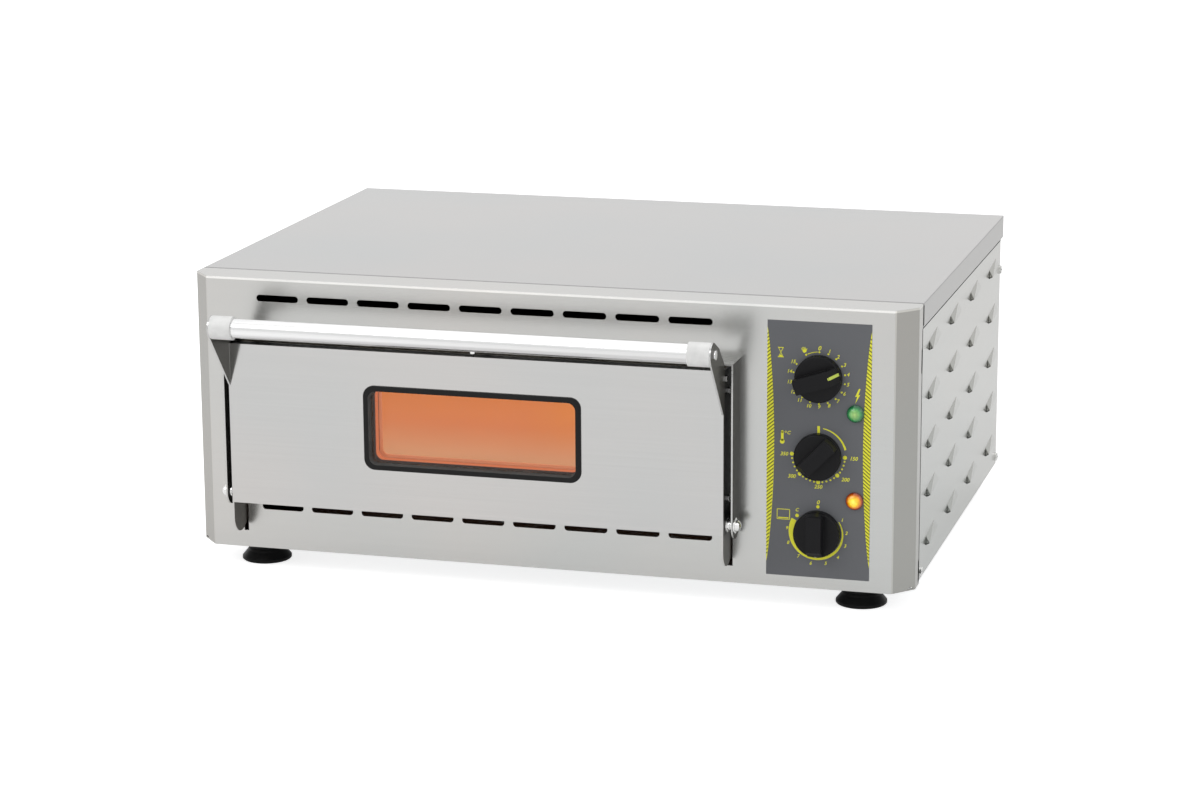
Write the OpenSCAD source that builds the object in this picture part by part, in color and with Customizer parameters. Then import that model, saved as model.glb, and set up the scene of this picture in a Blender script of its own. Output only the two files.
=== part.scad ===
// Countertop electric pizza oven: a sheet steel housing with a drop-down door and a control column.
// The origin is on the worktop, under the middle of the whole oven. +X is the user's right, -Y the front.
// Every module draws in the housing's own frame: y = 0 is the front panel's face, z = 0 the housing's
// underside, and a "reach" is a distance in front of that face.

/* [Housing] */
// Width of the housing
body_w = 670; // [600:1:760]
// Depth of the housing without handle and cord inlet
body_d = 480; // [430:1:560]
// Height of the housing without its feet
body_h = 253; // [228:1:300]
// Thickness of the outer sheet steel
sheet = 1.5; // [1:0.1:2]
// Width of the slanted front corners, seen from the front
corner_w = 17.5; // [10:0.5:22]
// Depth of the slanted front corners
corner_d = 20; // [12:0.5:24]
// Depth at which the front panel's wrap ends and the cover begins
wrap_d = 37.5; // [32:0.5:45]
// Height of the cover's side and rear flanges
cover_drop = 21.5; // [16:0.5:26]
// Open seam between the front panel and the cover
seam_gap = 0.6; // [0.3:0.1:1]
// Depth of the small inward flanges
flange = 14; // [10:1:16]

/* [Feet] */
// Height of the feet
foot_h = 22; // [18:1:40]
// Radius of a foot where it stands
foot_r = 23; // [19:0.5:26]
// Radius of a foot's upper part
foot_neck_r = 16; // [14:0.5:18]
// Height of a foot's skirt
foot_skirt = 11; // [9:0.5:14]
// Distance of a foot's centre from the housing's side
foot_side = 52; // [40:1:80]
// Distance of a foot's centre from the front and from the back
foot_front = 41.5; // [40:0.5:80]

/* [Door] */
// Distance from the housing's left side to the door
bay_margin = 48.5; // [44:0.5:60]
// Room between the door and the housing's right side
column_room = 161.5; // [156:0.5:180]
// Height of the door's lower edge
door_bottom = 50.2; // [47:0.1:54]
// Distance of the door's upper edge under the housing's top
door_down = 54.5; // [50:0.5:60]
// Reach of the door's face
door_reach = 30; // [28:0.5:34]
// Thickness of the door's outer sheet
door_sheet = 1.5; // [1.2:0.1:2]
// Gap between the door's sides and the cheeks of the hood
door_gap = 6; // [5:0.5:9]
// How far the hood's front edge lies behind the door's face
hood_back = 3.4; // [2.6:0.2:5]
// Height of the hood's top over the door's upper edge
hood_over = 5.8; // [5:0.1:9]
// Distance of the pivot behind the door's face
pivot_back = 11; // [10:0.5:12]
// Height of the pivot above the door's lower edge
pivot_up = 7.8; // [7:0.1:9]
// Radius of the hinge bolts
bolt_r = 3; // [2.5:0.25:4]
// Length of the stop tabs behind the front panel's face
tab_back = 3; // [2.5:0.25:4]
// Length of the stop tabs under the door
tab_drop = 30.7; // [28:0.1:34]
// Clearance between a stop tab and the sides of its slot
tab_play = 1.4; // [1:0.1:2.5]
// Thickness of the door's inner sheet
inner_sheet = 1.2; // [0.8:0.1:1.5]
// Depth of the inner pan's walls in front of the front panel
inner_deep = 24.5; // [22:0.5:26]

/* [Window] */
// Outer width of the window gasket
gasket_w = 202.5; // [150:0.5:260]
// Outer height of the window gasket
gasket_h = 77.4; // [66:0.2:82]
// Height of the window's middle above the door's middle
window_up = 4.15; // [0:0.05:8]
// Width of the gasket's visible rim
gasket_rim = 7.5; // [6:0.5:10]
// How far the gasket stands proud of the door
gasket_proud = 2; // [1:0.5:3]
// Radius of the gasket's outer corners
gasket_corner = 10; // [8:0.5:14]
// Thickness of the glass panes
glass = 4; // [3:0.5:5]
// Recess of the outer pane behind the gasket's face
glass_recess = 6; // [5:0.5:7]

/* [Handle] */
// Distance of the handle bar's axis from the door's face
bar_out = 36.9; // [30:0.1:42]
// Height of the handle bar's axis above the door
bar_up = 22.5; // [18:0.1:26]
// Radius of the handle bar
bar_r = 8.8; // [8:0.1:11]
// Wall of the handle bar
bar_wall = 1.5; // [1.2:0.1:2]
// Wall of the handle's end collars
collar_wall = 1.8; // [1:0.1:3]
// Length of the handle's end collars
collar_l = 20; // [16:1:30]
// Distance below the door's upper edge at which the handle ears run out
ear_down = 39; // [30:0.5:48]

/* [Baking chamber] */
// Distance of the chamber's sides inside the door's sides
chamber_inset = 15; // [13:0.5:25]
// Room behind the chamber for its insulation and the element's ends
rear_room = 60; // [56:1:90]
// Height of the chamber's floor
floor_z = 62; // [58:0.5:66]
// Distance of the chamber's roof under the door's upper edge
roof_down = 16.5; // [14:0.5:24]
// How far the front panel's edge covers the chamber's sides
lip = 3; // [2:0.5:6]
// How far the front panel's edge hangs below the chamber's roof
lip_top = 4; // [2:0.5:6]
// Thickness of the chamber's sheet
liner = 1.2; // [0.8:0.1:1.5]
// Thickness of the insulation on the chamber's roof
wool_top = 34; // [20:1:40]
// Thickness of the insulation on the sides and the rear
wool_side = 24; // [15:1:26]
// Thickness of the insulation under the floor
wool_under = 16; // [10:1:17]
// Height of the stone's underside above the chamber's floor
stone_lift = 18; // [16:0.5:22]
// Thickness of the refractory stone
stone_h = 12; // [10:0.5:14]
// Gap round the stone
stone_gap = 6; // [4:0.5:9]

/* [Heating] */
// Number of quartz tubes under the roof
tube_count = 4; // [3:1:5]
// Radius of a quartz tube
tube_r = 5.5; // [4.5:0.25:6]
// Distance of the quartz tubes' axes under the roof
tube_down = 16; // [14:0.25:18]
// Radius of the lower element's rod
rod_r = 3.75; // [3:0.25:4.25]
// Height of the lower element's axis above the chamber's floor
rod_up = 9; // [7:0.25:10]
// Distance of the lower element's outer legs from the chamber's sides
leg_inset = 60; // [40:1:90]
// Number of the lower element's legs, always even
leg_count = 6; // [4:2:6]

/* [Controls] */
// Distance of the knobs' axes from the housing's right side
column_side = 83.5; // [80:0.5:88]
// Width of the control label
label_w = 92.2; // [88:0.2:96]
// Height of the label's lower edge
label_bottom = 10.5; // [8:0.5:14]
// Distance of the label's upper edge under the housing's top
label_down = 13; // [8:0.5:18]
// Distance of the middle knob under the label's middle
knob_sink = 4.45; // [0:0.05:8]
// Distance between neighbouring knobs
knob_pitch = 69.7; // [66:0.1:72]
// Radius of a knob
knob_r = 20.7; // [18:0.1:22]
// Height of a knob's round base
knob_base = 7.5; // [5:0.5:9]
// Height of a knob with its grip
knob_h = 19; // [15:0.5:24]
// Width of a knob's grip
grip_w = 13.5; // [10:0.5:15]
// Radius of the control shafts
shaft_r = 3; // [2.5:0.25:3.5]
// Where the timer's pointer stands, clockwise from the top
timer_turn = 72; // [0:1:290]
// Where the thermostat's pointer stands, clockwise from the top
thermostat_turn = 224; // [0:1:270]
// Where the regulator's pointer stands, clockwise from the top
regulator_turn = 180; // [0:1:310]
// Offset of the pilot lamps from the knobs' axes
lamp_x = 32.6; // [30:0.2:34]
// Height of the upper lamp above the middle knob
lamp_up = 40; // [38:0.5:43]
// Depth of the lower lamp under the middle knob
lamp_down = 38.3; // [36:0.5:43]
// Radius of a lamp's lens
lamp_r = 7.7; // [6.5:0.1:9]

/* [Vents and louvres] */
// Number of vent slots in each row of the front panel
slot_count = 9; // [5:1:9]
// Web between neighbouring vent slots
slot_web = 8.2; // [6:0.2:20]
// Height of a vent slot
slot_h = 6.2; // [4:0.2:7]
// Distance of the rows' ends inside the door's sides
slot_inset = 17.2; // [10:0.2:30]
// Distance of the upper row under the housing's top
slot_down = 18; // [14:0.5:20]
// Distance of the lower row under the door
slot_under = 10.2; // [8:0.2:14]
// Columns of slots in the rear panel
rear_columns = 7; // [4:1:8]
// Rows of slots in the rear panel
rear_rows = 6; // [3:1:7]
// Web between neighbouring slots of the rear panel
rear_web = 20; // [10:1:30]
// Height of a slot of the rear and the base
rear_slot_h = 6; // [4:0.5:10]
// Number of slots in each row of the base
base_slots = 5; // [3:1:6]
// Number of columns of louvres
louvre_columns = 4; // [3:1:5]
// Number of rows of louvres
louvre_rows = 5; // [3:1:5]
// Depth of the first column of louvres
louvre_y = 81; // [60:1:90]
// Distance of the last louvre's tail from the housing's rear
louvre_rear = 9.5; // [8:0.5:40]
// Height of the lowest row of louvres
louvre_z = 27.9; // [25:0.1:36]
// Distance of the highest row under the housing's top
louvre_down = 46.3; // [40:0.1:60]
// Length of a louvre
louvre_l = 61; // [40:1:65]
// Height of a louvre's open end
louvre_h = 9; // [6:0.5:12]
// How far a louvre stands out
louvre_out = 3.5; // [3:0.5:7]

/* [Hidden] */

$fn = 48;
play = 0.3;       // between pieces that don't touch
run_play = 0.05;  // round a shaft or pin in its hole
cut = 1;          // how far a cutter runs past a face

// Door
door_w = body_w - bay_margin - column_room;
door_side = door_w / 2;
bay_x = bay_margin + door_side - body_w / 2;
door_top = body_h - door_down;
hood_reach = door_reach - hood_back;
hood_top = door_top + hood_over;
pivot_reach = door_reach - pivot_back;
pivot_z = door_bottom + pivot_up;
tab_end = door_bottom - tab_drop;
tab_r = (door_reach + tab_back) / 2;
tab_mid = door_reach - tab_r;
stop_z = pivot_z + pivot_reach + tab_back + play;  // the tabs come to rest under this edge
cheek_in = door_side + door_gap;
nut_h = 4;
nut_r = 4.6;
hinge_gap = play;                            // between the washers and the door's side
washer_r = 7;
washer_t = 1.2;
dome_r = 5;
dome_h = 2.2;                                // straight part of a domed nut
shell_back = 1.2;                            // reach of the door's rearmost face
return_d = 12;                               // depth of the door's folded upper and lower edges
inner_bottom = pivot_z + nut_r + 4.4;
inner_top = door_top - door_sheet - 2;
inner_side = door_side - door_sheet - play;

// Window
window_z = (door_top + door_bottom) / 2 + window_up;
view_w = gasket_w - 2 * gasket_rim;
view_h = gasket_h - 2 * gasket_rim;
view_corner = gasket_corner - gasket_rim / 2 - 1;
neck = 3.5;                                  // how far the gasket's neck is wider than the view
groove = neck - 1.2;                         // how deep the pane sits in the gasket
tunnel_gap = 2;                              // how far the tunnel stands outside the view
pane_front = door_reach + gasket_proud - glass_recess;
pane_back = pane_front - glass;
gasket_back = pane_back - 2;
inner_pane_front = shell_back + inner_sheet + glass;

// Handle
bar_reach = door_reach + bar_out;
bar_z = door_top + bar_up;
collar_r = bar_r + collar_wall;
collar_end = 8;                              // solid end of a collar
ear_tip = door_top - ear_down;
ear_screw_r = 2;
ear_gap = 1.4;                               // between the ears' rear edge and the hood

// Housing
lean = atan2(corner_d, corner_w);
side_out = body_w / 2 - sheet - play;        // outer face of a side panel
side_in = side_out - sheet;                  // inner face of a side panel
rear_out = body_d - sheet - play;            // outer face of the rear panel
rear_in = rear_out - sheet;
cover_in = body_h - sheet - play;            // just under the top cover
inlet_out = 14;                              // how far the cord inlet stands out
handle_front = bar_reach + collar_r;
front_y = handle_front - (handle_front + body_d + inlet_out) / 2;
base_top = 2 * sheet;
base_side = 24;                              // height of the base pan's side flanges

// Chamber
chamber_w = door_w - 2 * chamber_inset;
chamber_side = chamber_w / 2;
chamber_d = body_d - rear_room;
chamber_back = sheet + chamber_d;
chamber_mid = sheet + chamber_d / 2;
chamber_rim = 8;                             // width of the flange round the chamber's mouth
roof_z = door_top - roof_down;
stone_under = floor_z + stone_lift;
stone_top = stone_under + stone_h;
sill = 2;                                    // how far the stone stands above the mouth's edge
mouth_w = chamber_w - 2 * lip;
mouth_bottom = stone_top - sill;
mouth_top = roof_z - lip_top;
wool_front = 32;
support_w = 40;
support_inset = 105;
support_spots = [support_inset, chamber_back - support_inset - support_w];
partition_x = bay_x + chamber_side + liner + wool_side + 3;
wire_hole_r = 10;
rail_w = 20;
rail_h = stone_lift - 6;

// Heating
tube_z = roof_z - tube_down;
tube_l = chamber_w - 22;
tube_step = (chamber_d - 60) / tube_count;
filament_r = 2;
trough_r = tube_down - play;
holder_w = 15;
holder_half = 9;
rod_z = floor_z + rod_up;
leg_pitch = (chamber_w - 2 * leg_inset) / (leg_count - 1);
leg_front = 55;
leg_back = chamber_back - 55;
clip_in = 40;                                // distance of the clips from the bends
clip_w = 10;
terminal_l = rear_room - 8;                  // length of the element's ends behind the chamber

// Controls
column_x = body_w / 2 - column_side;
label_top = body_h - label_down;
knob_z = (label_top + label_bottom) / 2 - knob_sink;
label_t = 0.6;
knob_gap = 0.5;
knob_back = label_t + knob_gap;
body_size = 42;
body_depth = 34;
shaft_in = 22;
shaft_l = knob_h - 5;
shaft_hole_r = shaft_r + 2;
lamp_hole_r = 6;
lamp_depth = 24;
lens_rim = 1.6;
lens_sink = 5.2;                             // centre of the lens's dome behind its rim
knob_spots = [knob_z + knob_pitch, knob_z, knob_z - knob_pitch];
lamp_spots = [knob_z + lamp_up, knob_z - lamp_down];
bulb_y = 210;
bulb_z = roof_z - 32;
bulb_r = 3;
bulb_l = 90;
capillary_r = 1;
bend_side = 30;                              // the thin tube's corners, beside and behind the case
bend_back = 20;
tag_step = 12;                               // spacing and size of a case's three terminals
tag_w = 6;
tag_l = 8;
tag_t = 0.8;
terminal_h = 20;
terminal_in = 68;                            // distance of the terminal block from the rear panel
inlet_side = 67;
inlet_x = body_w / 2 - inlet_side;
inlet_z = 42;
inlet_r = 9;
inlet_bore = 4.5;
cap_h = 6;                                   // height of the gland's nuts

// Vents
slot_l = (door_w - 2 * slot_inset + slot_web) / slot_count - slot_web;
slot_pitch = slot_l + slot_web;
slots_from = bay_x - door_side + slot_inset;
slot_upper = body_h - slot_down;
slot_lower = door_bottom - slot_under;
rear_edge = 70;                              // distance of the rear panel's slots from its lower left corner
rear_clear = 158;                            // room for the cord inlet at its right
rear_down = 73;                              // distance of the highest row under the housing's top
rear_from = rear_edge - body_w / 2;
rear_to = body_w / 2 - rear_clear;
rear_low = rear_edge;
rear_high = body_h - rear_down;
rear_pitch = (rear_to - rear_from + rear_web) / rear_columns;
rear_rise = (rear_high - rear_low) / (rear_rows - 1);
base_web = 28;
base_end = 12;                               // distance of the base's slots inside the chamber's sides
base_from = bay_x - chamber_side + base_end;
base_pitch = (chamber_w - 2 * base_end + base_web) / base_slots;
louvre_dy = (body_d - louvre_y - louvre_l - louvre_rear) / (louvre_columns - 1);
louvre_dz = (body_h - louvre_z - louvre_down) / (louvre_rows - 1);

// Fasteners
screw_r = 1.9;
screw_head_r = 4.2;
screw_head_h = 2.4;
screw_l = 8;
side_screws = [[50, 8], [body_d - 9, 8], [body_d - 9, body_h - 53]];  // depth and height
door_screw_spots = [[2.5 - inner_deep, inner_top - 4.5], [-12, inner_top - 17], [-13, inner_bottom + 14]];
foot_spots = [for (y = [foot_front, body_d - foot_front], x = [-1, 1]) [x * (body_w / 2 - foot_side), y]];
foot_recess = 7;
foot_recess_r = 7;
foot_nut_r = 5.5;
foot_names = ["foot_front_left", "foot_front_right", "foot_rear_left", "foot_rear_right"];

// Colours
steel = [0.78, 0.78, 0.77];
dark_steel = [0.45, 0.45, 0.46];
black = [0.09, 0.09, 0.1];
grey = [0.40, 0.41, 0.43];
white_metal = [0.93, 0.93, 0.93];
wool = [0.85, 0.80, 0.62];
ceramic = [0.92, 0.90, 0.84];

// ---- Helpers ----

module in_place() translate([0, front_y, foot_h]) children();

// Extrudes a flat shape along an axis between two places. Flat x and y become the other two axes.
module along_x(from, to) translate([from, 0, 0]) rotate([90, 0, 90]) linear_extrude(to - from) children();
module along_y(from, to) translate([0, to, 0]) rotate([90, 0, 0]) linear_extrude(to - from) children();
module along_z(from, to) translate([0, 0, from]) linear_extrude(to - from) children();

// A box between two corners.
module block(a, b) translate(a) cube(b - a);

// A rod of radius r along an axis between two places.
module rod_x(x0, x1, y, z, r) translate([x0, y, z]) rotate([0, 90, 0]) cylinder(h = x1 - x0, r = r);
module rod_y(y0, y1, x, z, r) translate([x, y0, z]) rotate([-90, 0, 0]) cylinder(h = y1 - y0, r = r);

module round_rect(w, h, r) {
    square([w - 2 * r, h], center = true);
    square([w, h - 2 * r], center = true);
    for (x = [-1, 1], y = [-1, 1]) translate([x * (w / 2 - r), y * (h / 2 - r)]) circle(r);
}

module slot(l, h) {
    translate([h / 2, -h / 2]) square([l - h, h]);
    for (x = [h / 2, l - h / 2]) translate([x, 0]) circle(h / 2);
}

// Draws its children at the left and, mirrored, at the right side of the bay.
module both_sides() for (s = [0, 1]) translate([bay_x, 0, 0]) mirror([s, 0, 0]) children();

// A ring between two rounded rectangles round the window's middle, between two reaches.
module window_ring(near, far, w, h, r, w_in, h_in, r_in) along_y(-far, -near) translate([bay_x, window_z])
    difference() {
        round_rect(w, h, r);
        round_rect(w_in, h_in, r_in);
    }

// ---- Housing ----

// Plan of the front panel's wrap, moved in by t, with its legs ending at depth back.
function wrap_plan(t, back) =
    let (half = body_w / 2 - t,
         turn_x = body_w / 2 - corner_w - t * tan(lean / 2),
         turn_y = corner_d + t * tan((90 - lean) / 2))
    [[-half, back], [-half, turn_y], [-turn_x, t], [turn_x, t], [half, turn_y], [half, back]];

module front_panel() color(steel) in_place() difference() {
    along_z(0, body_h) polygon(wrap_plan(0, wrap_d));
    along_z(sheet, body_h - sheet) polygon(wrap_plan(sheet, wrap_d + cut));
    block([-body_w / 2 + sheet, flange, -cut], [body_w / 2 - sheet, wrap_d + cut, sheet + cut]);
    along_y(-cut, sheet + cut) {
        translate([bay_x - mouth_w / 2, mouth_bottom]) square([mouth_w, mouth_top - mouth_bottom]);
        for (z = [slot_upper, slot_lower], i = [0 : slot_count - 1])
            translate([slots_from + i * slot_pitch, z]) slot(slot_l, slot_h);
        for (z = knob_spots) translate([column_x, z]) circle(shaft_hole_r);
        for (z = lamp_spots) translate([column_x + lamp_x, z]) circle(lamp_hole_r);
    }
    both_sides() tab_slot();
}

// The slot that a stop tab swings through. Its upper edge stops the door.
module tab_slot() {
    x = door_side - door_sheet / 2;
    w = door_sheet + 2 * tab_play;
    block([x - w / 2, -cut, tab_end - 4], [x + w / 2, sheet + cut, stop_z]);
}

module door_hood() color(steel) in_place() {
    both_sides() cheek();
    block([bay_x - cheek_in, -hood_reach, hood_top - sheet], [bay_x + cheek_in, 0, hood_top]);
}

module cheek() along_x(cheek_in, cheek_in + sheet) difference() {
    union() {
        translate([-hood_reach, pivot_z]) square([hood_reach, hood_top - pivot_z]);
        translate([-hood_reach / 2, pivot_z]) circle(hood_reach / 2);
    }
    translate([-pivot_reach, pivot_z]) circle(bolt_r + run_play);
}

module top_cover() color(steel) in_place() {
    y = wrap_d + seam_gap;
    block([-body_w / 2, y, body_h - sheet], [body_w / 2, body_d, body_h]);
    for (s = [0, 1]) mirror([s, 0, 0])
        block([body_w / 2 - sheet, y, body_h - cover_drop], [body_w / 2, body_d, body_h]);
    block([-body_w / 2, body_d - sheet, body_h - cover_drop], [body_w / 2, body_d, body_h]);
}

module side_panel_left() mirror([1, 0, 0]) side_panel();
module side_panel_right() side_panel();

module side_panel() color(steel) in_place() {
    difference() {
        union() {
            block([side_in, wrap_d - flange, 0], [side_out, rear_in - play, cover_in]);
            louvre_field() louvre_form();
        }
        louvre_field() louvre_hollow();
        for (s = side_screws) rod_x(side_in - cut, side_out + cut, s.x, s.y, screw_r + run_play);
    }
    block([side_in - flange, wrap_d + 2, cover_in - sheet], [side_in, rear_in - flange - 3, cover_in]);
}

module louvre_field() for (c = [0 : louvre_columns - 1], r = [0 : louvre_rows - 1])
    translate([side_out, louvre_y + c * louvre_dy, louvre_z + r * louvre_dz]) children();

// A louvre is a kite pressed out of the sheet: high at its open front, and running out to its tail.
kite = [[0, -louvre_h / 2], [0.57 * louvre_l, -0.72 * louvre_h], [louvre_l, -0.28 * louvre_h],
        [0.64 * louvre_l, louvre_h], [0, louvre_h / 2]];

module louvre_form() polyhedron(
    points = concat([for (p = kite) [0, p.x, p.y]], [[louvre_out, 0, -0.28 * louvre_h]]),
    faces = [[0, 1, 2, 3, 4], [1, 0, 5], [2, 1, 5], [3, 2, 5], [4, 3, 5], [0, 4, 5]]);

// The same form set inwards and forwards leaves the pressed skin and opens its front.
module louvre_hollow() translate([-0.9, -1.2, -0.2]) {
    louvre_form();
    along_x(-sheet - cut, 0) polygon(kite);
}

module rear_panel() color(steel) in_place() difference() {
    union() {
        block([-side_in + play, rear_in, base_top + play], [side_in - play, rear_out, cover_in]);
        for (s = [0, 1]) mirror([s, 0, 0])
            block([side_in - play - sheet, rear_in - flange, base_top + play],
                  [side_in - play, rear_in, cover_in]);
    }
    for (s = side_screws) if (s.x > body_d / 2) for (m = [0, 1]) mirror([m, 0, 0])
        rod_x(side_in - 3 * sheet, side_in + cut, s.x, s.y, screw_r + run_play);
    along_y(rear_in - cut, rear_out + cut) {
        for (r = [0 : rear_rows - 1], c = [0 : rear_columns - 1])
            translate([rear_from + c * rear_pitch, rear_low + r * rear_rise])
                slot(rear_pitch - rear_web, rear_slot_h);
        translate([inlet_x, inlet_z]) circle(inlet_r);
    }
}

module base_pan() color(dark_steel) in_place() difference() {
    union() {
        along_z(sheet, base_top) intersection() {
            polygon(wrap_plan(sheet + play, rear_in - play));
            translate([-side_in + play, 0]) square([2 * (side_in - play), body_d]);
        }
        for (s = [0, 1]) mirror([s, 0, 0])
            block([side_in - play - sheet, wrap_d, base_top],
                  [side_in - play, rear_in - flange - 3, base_side]);
    }
    for (s = side_screws) if (s.x < body_d / 2) for (m = [0, 1]) mirror([m, 0, 0])
        rod_x(side_in - 3 * sheet, side_in + cut, s.x, s.y, screw_r + run_play);
    for (c = [0 : base_slots - 1], y = [-1, 1])
        translate([base_from + c * base_pitch, chamber_mid + y * support_w / 2, 0])
            along_z(0, 2 * base_top) slot(base_pitch - base_web, rear_slot_h);
    for (f = foot_spots) translate([f.x, f.y, 0]) cylinder(h = 2 * base_top, r = bolt_r + run_play);
}

// ---- Feet ----

// A moulded foot: a flared skirt on a flat sole, a neck, and a recess for the screw's head.
module foot(spot) color(black) in_place() translate([spot.x, spot.y, -foot_h]) rotate_extrude()
    difference() {
        polygon([[0, 0], [foot_r - 1, 0], [foot_r, 1], [foot_r, 3], [foot_neck_r + 2, foot_skirt - 2],
                 [foot_neck_r + 1, foot_skirt], [foot_neck_r, foot_skirt + 1], [foot_neck_r, foot_h + sheet],
                 [0, foot_h + sheet]]);
        translate([-1, -cut]) square([bolt_r + run_play + 1, foot_h + sheet + 2 * cut]);
        translate([-1, -cut]) square([foot_recess_r + 1, foot_recess + cut]);
    }

module foot_screws() color(steel) in_place() for (f = foot_spots) translate([f.x, f.y, foot_recess - foot_h]) {
    translate([0, 0, -nut_h]) cylinder(h = nut_h, r = foot_nut_r);
    cylinder(h = foot_h - foot_recess + base_top + nut_h + 1, r = bolt_r);
    translate([0, 0, foot_h - foot_recess + base_top]) difference() {
        cylinder(h = nut_h, r = foot_nut_r, $fn = 6);
        translate([0, 0, -cut]) cylinder(h = nut_h + 2 * cut, r = bolt_r);
    }
}

// ---- Door hinge ----

// A bolt with its outer washer, domed cap and inner nut, drawn for the side at +x of the bay.
module hinge_bolt() {
    inner = door_side - door_sheet - hinge_gap;
    outer = cheek_in + sheet;
    y = -pivot_reach;
    rod_x(inner - nut_h, outer + washer_t, y, pivot_z, bolt_r);
    rod_x(outer, outer + washer_t, y, pivot_z, washer_r);
    rod_x(outer + washer_t, outer + washer_t + dome_h, y, pivot_z, dome_r);
    translate([outer + washer_t + dome_h, y, pivot_z]) rotate([0, 90, 0]) intersection() {
        cylinder(h = dome_r, r = dome_r);
        translate([0, 0, -3]) sphere(r = norm([3, dome_r]));
    }
    rod_x(inner - nut_h, inner, y, pivot_z, nut_r);
}

module hinge_bolts() color(white_metal) in_place() both_sides() hinge_bolt();

// Two thin washers with a smaller sleeve between them, from the cheek to just clear of the door.
module hinge_washers() color(white_metal) in_place() both_sides() difference() {
    from = door_side + hinge_gap;
    union() {
        rod_x(from, cheek_in, -pivot_reach, pivot_z, nut_r);
        rod_x(from, from + washer_t, -pivot_reach, pivot_z, washer_r - 0.7);
        rod_x(cheek_in - 2.4 * washer_t, cheek_in - 1.4 * washer_t, -pivot_reach, pivot_z, washer_r - 1.4);
    }
    rod_x(from - cut, cheek_in + cut, -pivot_reach, pivot_z, bolt_r + run_play);
}

module door_catch() color(white_metal) in_place() translate([bay_x, -door_reach + 7, 0]) {
    low = door_top + play;
    translate([0, 0, low + 1.5]) cylinder(h = hood_top - sheet - low - 1.5, r = 3);
    translate([0, 0, low + 1.5]) intersection() {
        sphere(r = 1.5);
        translate([0, 0, -2]) cylinder(h = 2, r = 2);
    }
}

// ---- Baking chamber ----

module chamber_box(grow, front, back) block(
    [bay_x - chamber_side - grow, front, floor_z - grow], [bay_x + chamber_side + grow, back, roof_z + grow]);

module chamber_liner() color(dark_steel) in_place() difference() {
    union() {
        chamber_box(liner, sheet, chamber_back + liner);
        chamber_box(chamber_rim, sheet, sheet + liner);
    }
    chamber_box(0, sheet - cut, chamber_back);
    for (x = [-1, 1]) rod_y(chamber_back - cut, chamber_back + 2 * cut + liner, bay_x + x * leg_pitch / 2,
                            rod_z, rod_r + play);
    rod_x(bay_x + chamber_side - cut, bay_x + chamber_side + liner + cut, bulb_y, bulb_z, capillary_r + play);
}

module chamber_insulation() color(wool) in_place() difference() {
    half = chamber_side + liner + wool_side;
    block([bay_x - half, wool_front, floor_z - liner - wool_under],
          [bay_x + half, chamber_back + liner + wool_side, roof_z + liner + wool_top]);
    chamber_box(liner, wool_front - cut, chamber_back + liner);
    for (y = support_spots)
        block([bay_x - chamber_w, y - play, 0], [bay_x + chamber_w, y + support_w + play, floor_z]);
    for (x = [-1, 1]) rod_y(chamber_back, chamber_back + wool_side + 3 * cut, bay_x + x * leg_pitch / 2,
                            rod_z, rod_r + play);
    rod_x(bay_x + chamber_side, partition_x, bulb_y, bulb_z, capillary_r + play);
}

// Hat channels that carry the chamber on the base pan.
module chamber_supports() color(dark_steel) in_place() for (y = support_spots)
    along_x(bay_x - chamber_side + 5, bay_x + chamber_side - 5) difference() {
        high = floor_z - liner - base_top;
        union() {
            translate([y, base_top]) square([support_w, high]);
            translate([y - 10, base_top]) square([support_w + 20, liner]);
        }
        translate([y + liner, base_top - cut]) square([support_w - 2 * liner, high - liner + cut]);
    }

module partition() color(dark_steel) in_place() difference() {
    union() {
        block([partition_x, wool_front, base_top],
              [partition_x + liner, rear_in - play, cover_in - slot_down]);
        block([partition_x, wool_front, base_top], [partition_x + flange, rear_in - play, base_top + liner]);
    }
    rod_x(partition_x - cut, partition_x + liner + cut, bulb_y, bulb_z, capillary_r + 2);
    rod_x(partition_x - cut, partition_x + liner + cut, chamber_back - 20, 30, wire_hole_r);
}

module refractory_stone() color([0.80, 0.74, 0.64]) in_place() block(
    [bay_x - chamber_side + stone_gap, sheet + stone_gap, stone_under],
    [bay_x + chamber_side - stone_gap, chamber_back - stone_gap, stone_top]);

module stone_rails() color(dark_steel) in_place() both_sides()
    along_y(sheet + stone_gap, chamber_back - stone_gap) translate([chamber_side, stone_under]) {
        translate([-rail_w, -liner]) square([rail_w, liner]);
        translate([-liner, -rail_h]) square([liner, rail_h]);
    }

// ---- Heating ----

function tube_y(i) = sheet + 30 + (i + 0.5) * tube_step;

module quartz_tubes() color([0.95, 0.75, 0.55]) in_place() for (i = [0 : tube_count - 1]) difference() {
    rod_x(bay_x - tube_l / 2, bay_x + tube_l / 2, tube_y(i), tube_z, tube_r);
    rod_x(bay_x - tube_l / 2 - cut, bay_x + tube_l / 2 + cut, tube_y(i), tube_z, tube_r - 1.2);
}

module tube_filaments() color([0.9, 0.35, 0.1]) in_place() for (i = [0 : tube_count - 1])
    rod_x(bay_x - tube_l / 2 - 3, bay_x + tube_l / 2 + 3, tube_y(i), tube_z, filament_r);

// Ceramic blocks on the chamber's side walls, each with a seat for the end of its tube.
module tube_holders() color(ceramic) in_place() both_sides() for (i = [0 : tube_count - 1]) difference() {
    block([chamber_side - holder_w, tube_y(i) - holder_half, tube_z - holder_half + 1],
          [chamber_side, tube_y(i) + holder_half, tube_z + holder_half - 1]);
    rod_x(chamber_side - holder_w - cut, tube_l / 2, tube_y(i), tube_z, tube_r + run_play);
    rod_x(tube_l / 2 - cut, tube_l / 2 + 3, tube_y(i), tube_z, filament_r + run_play);
}

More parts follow.
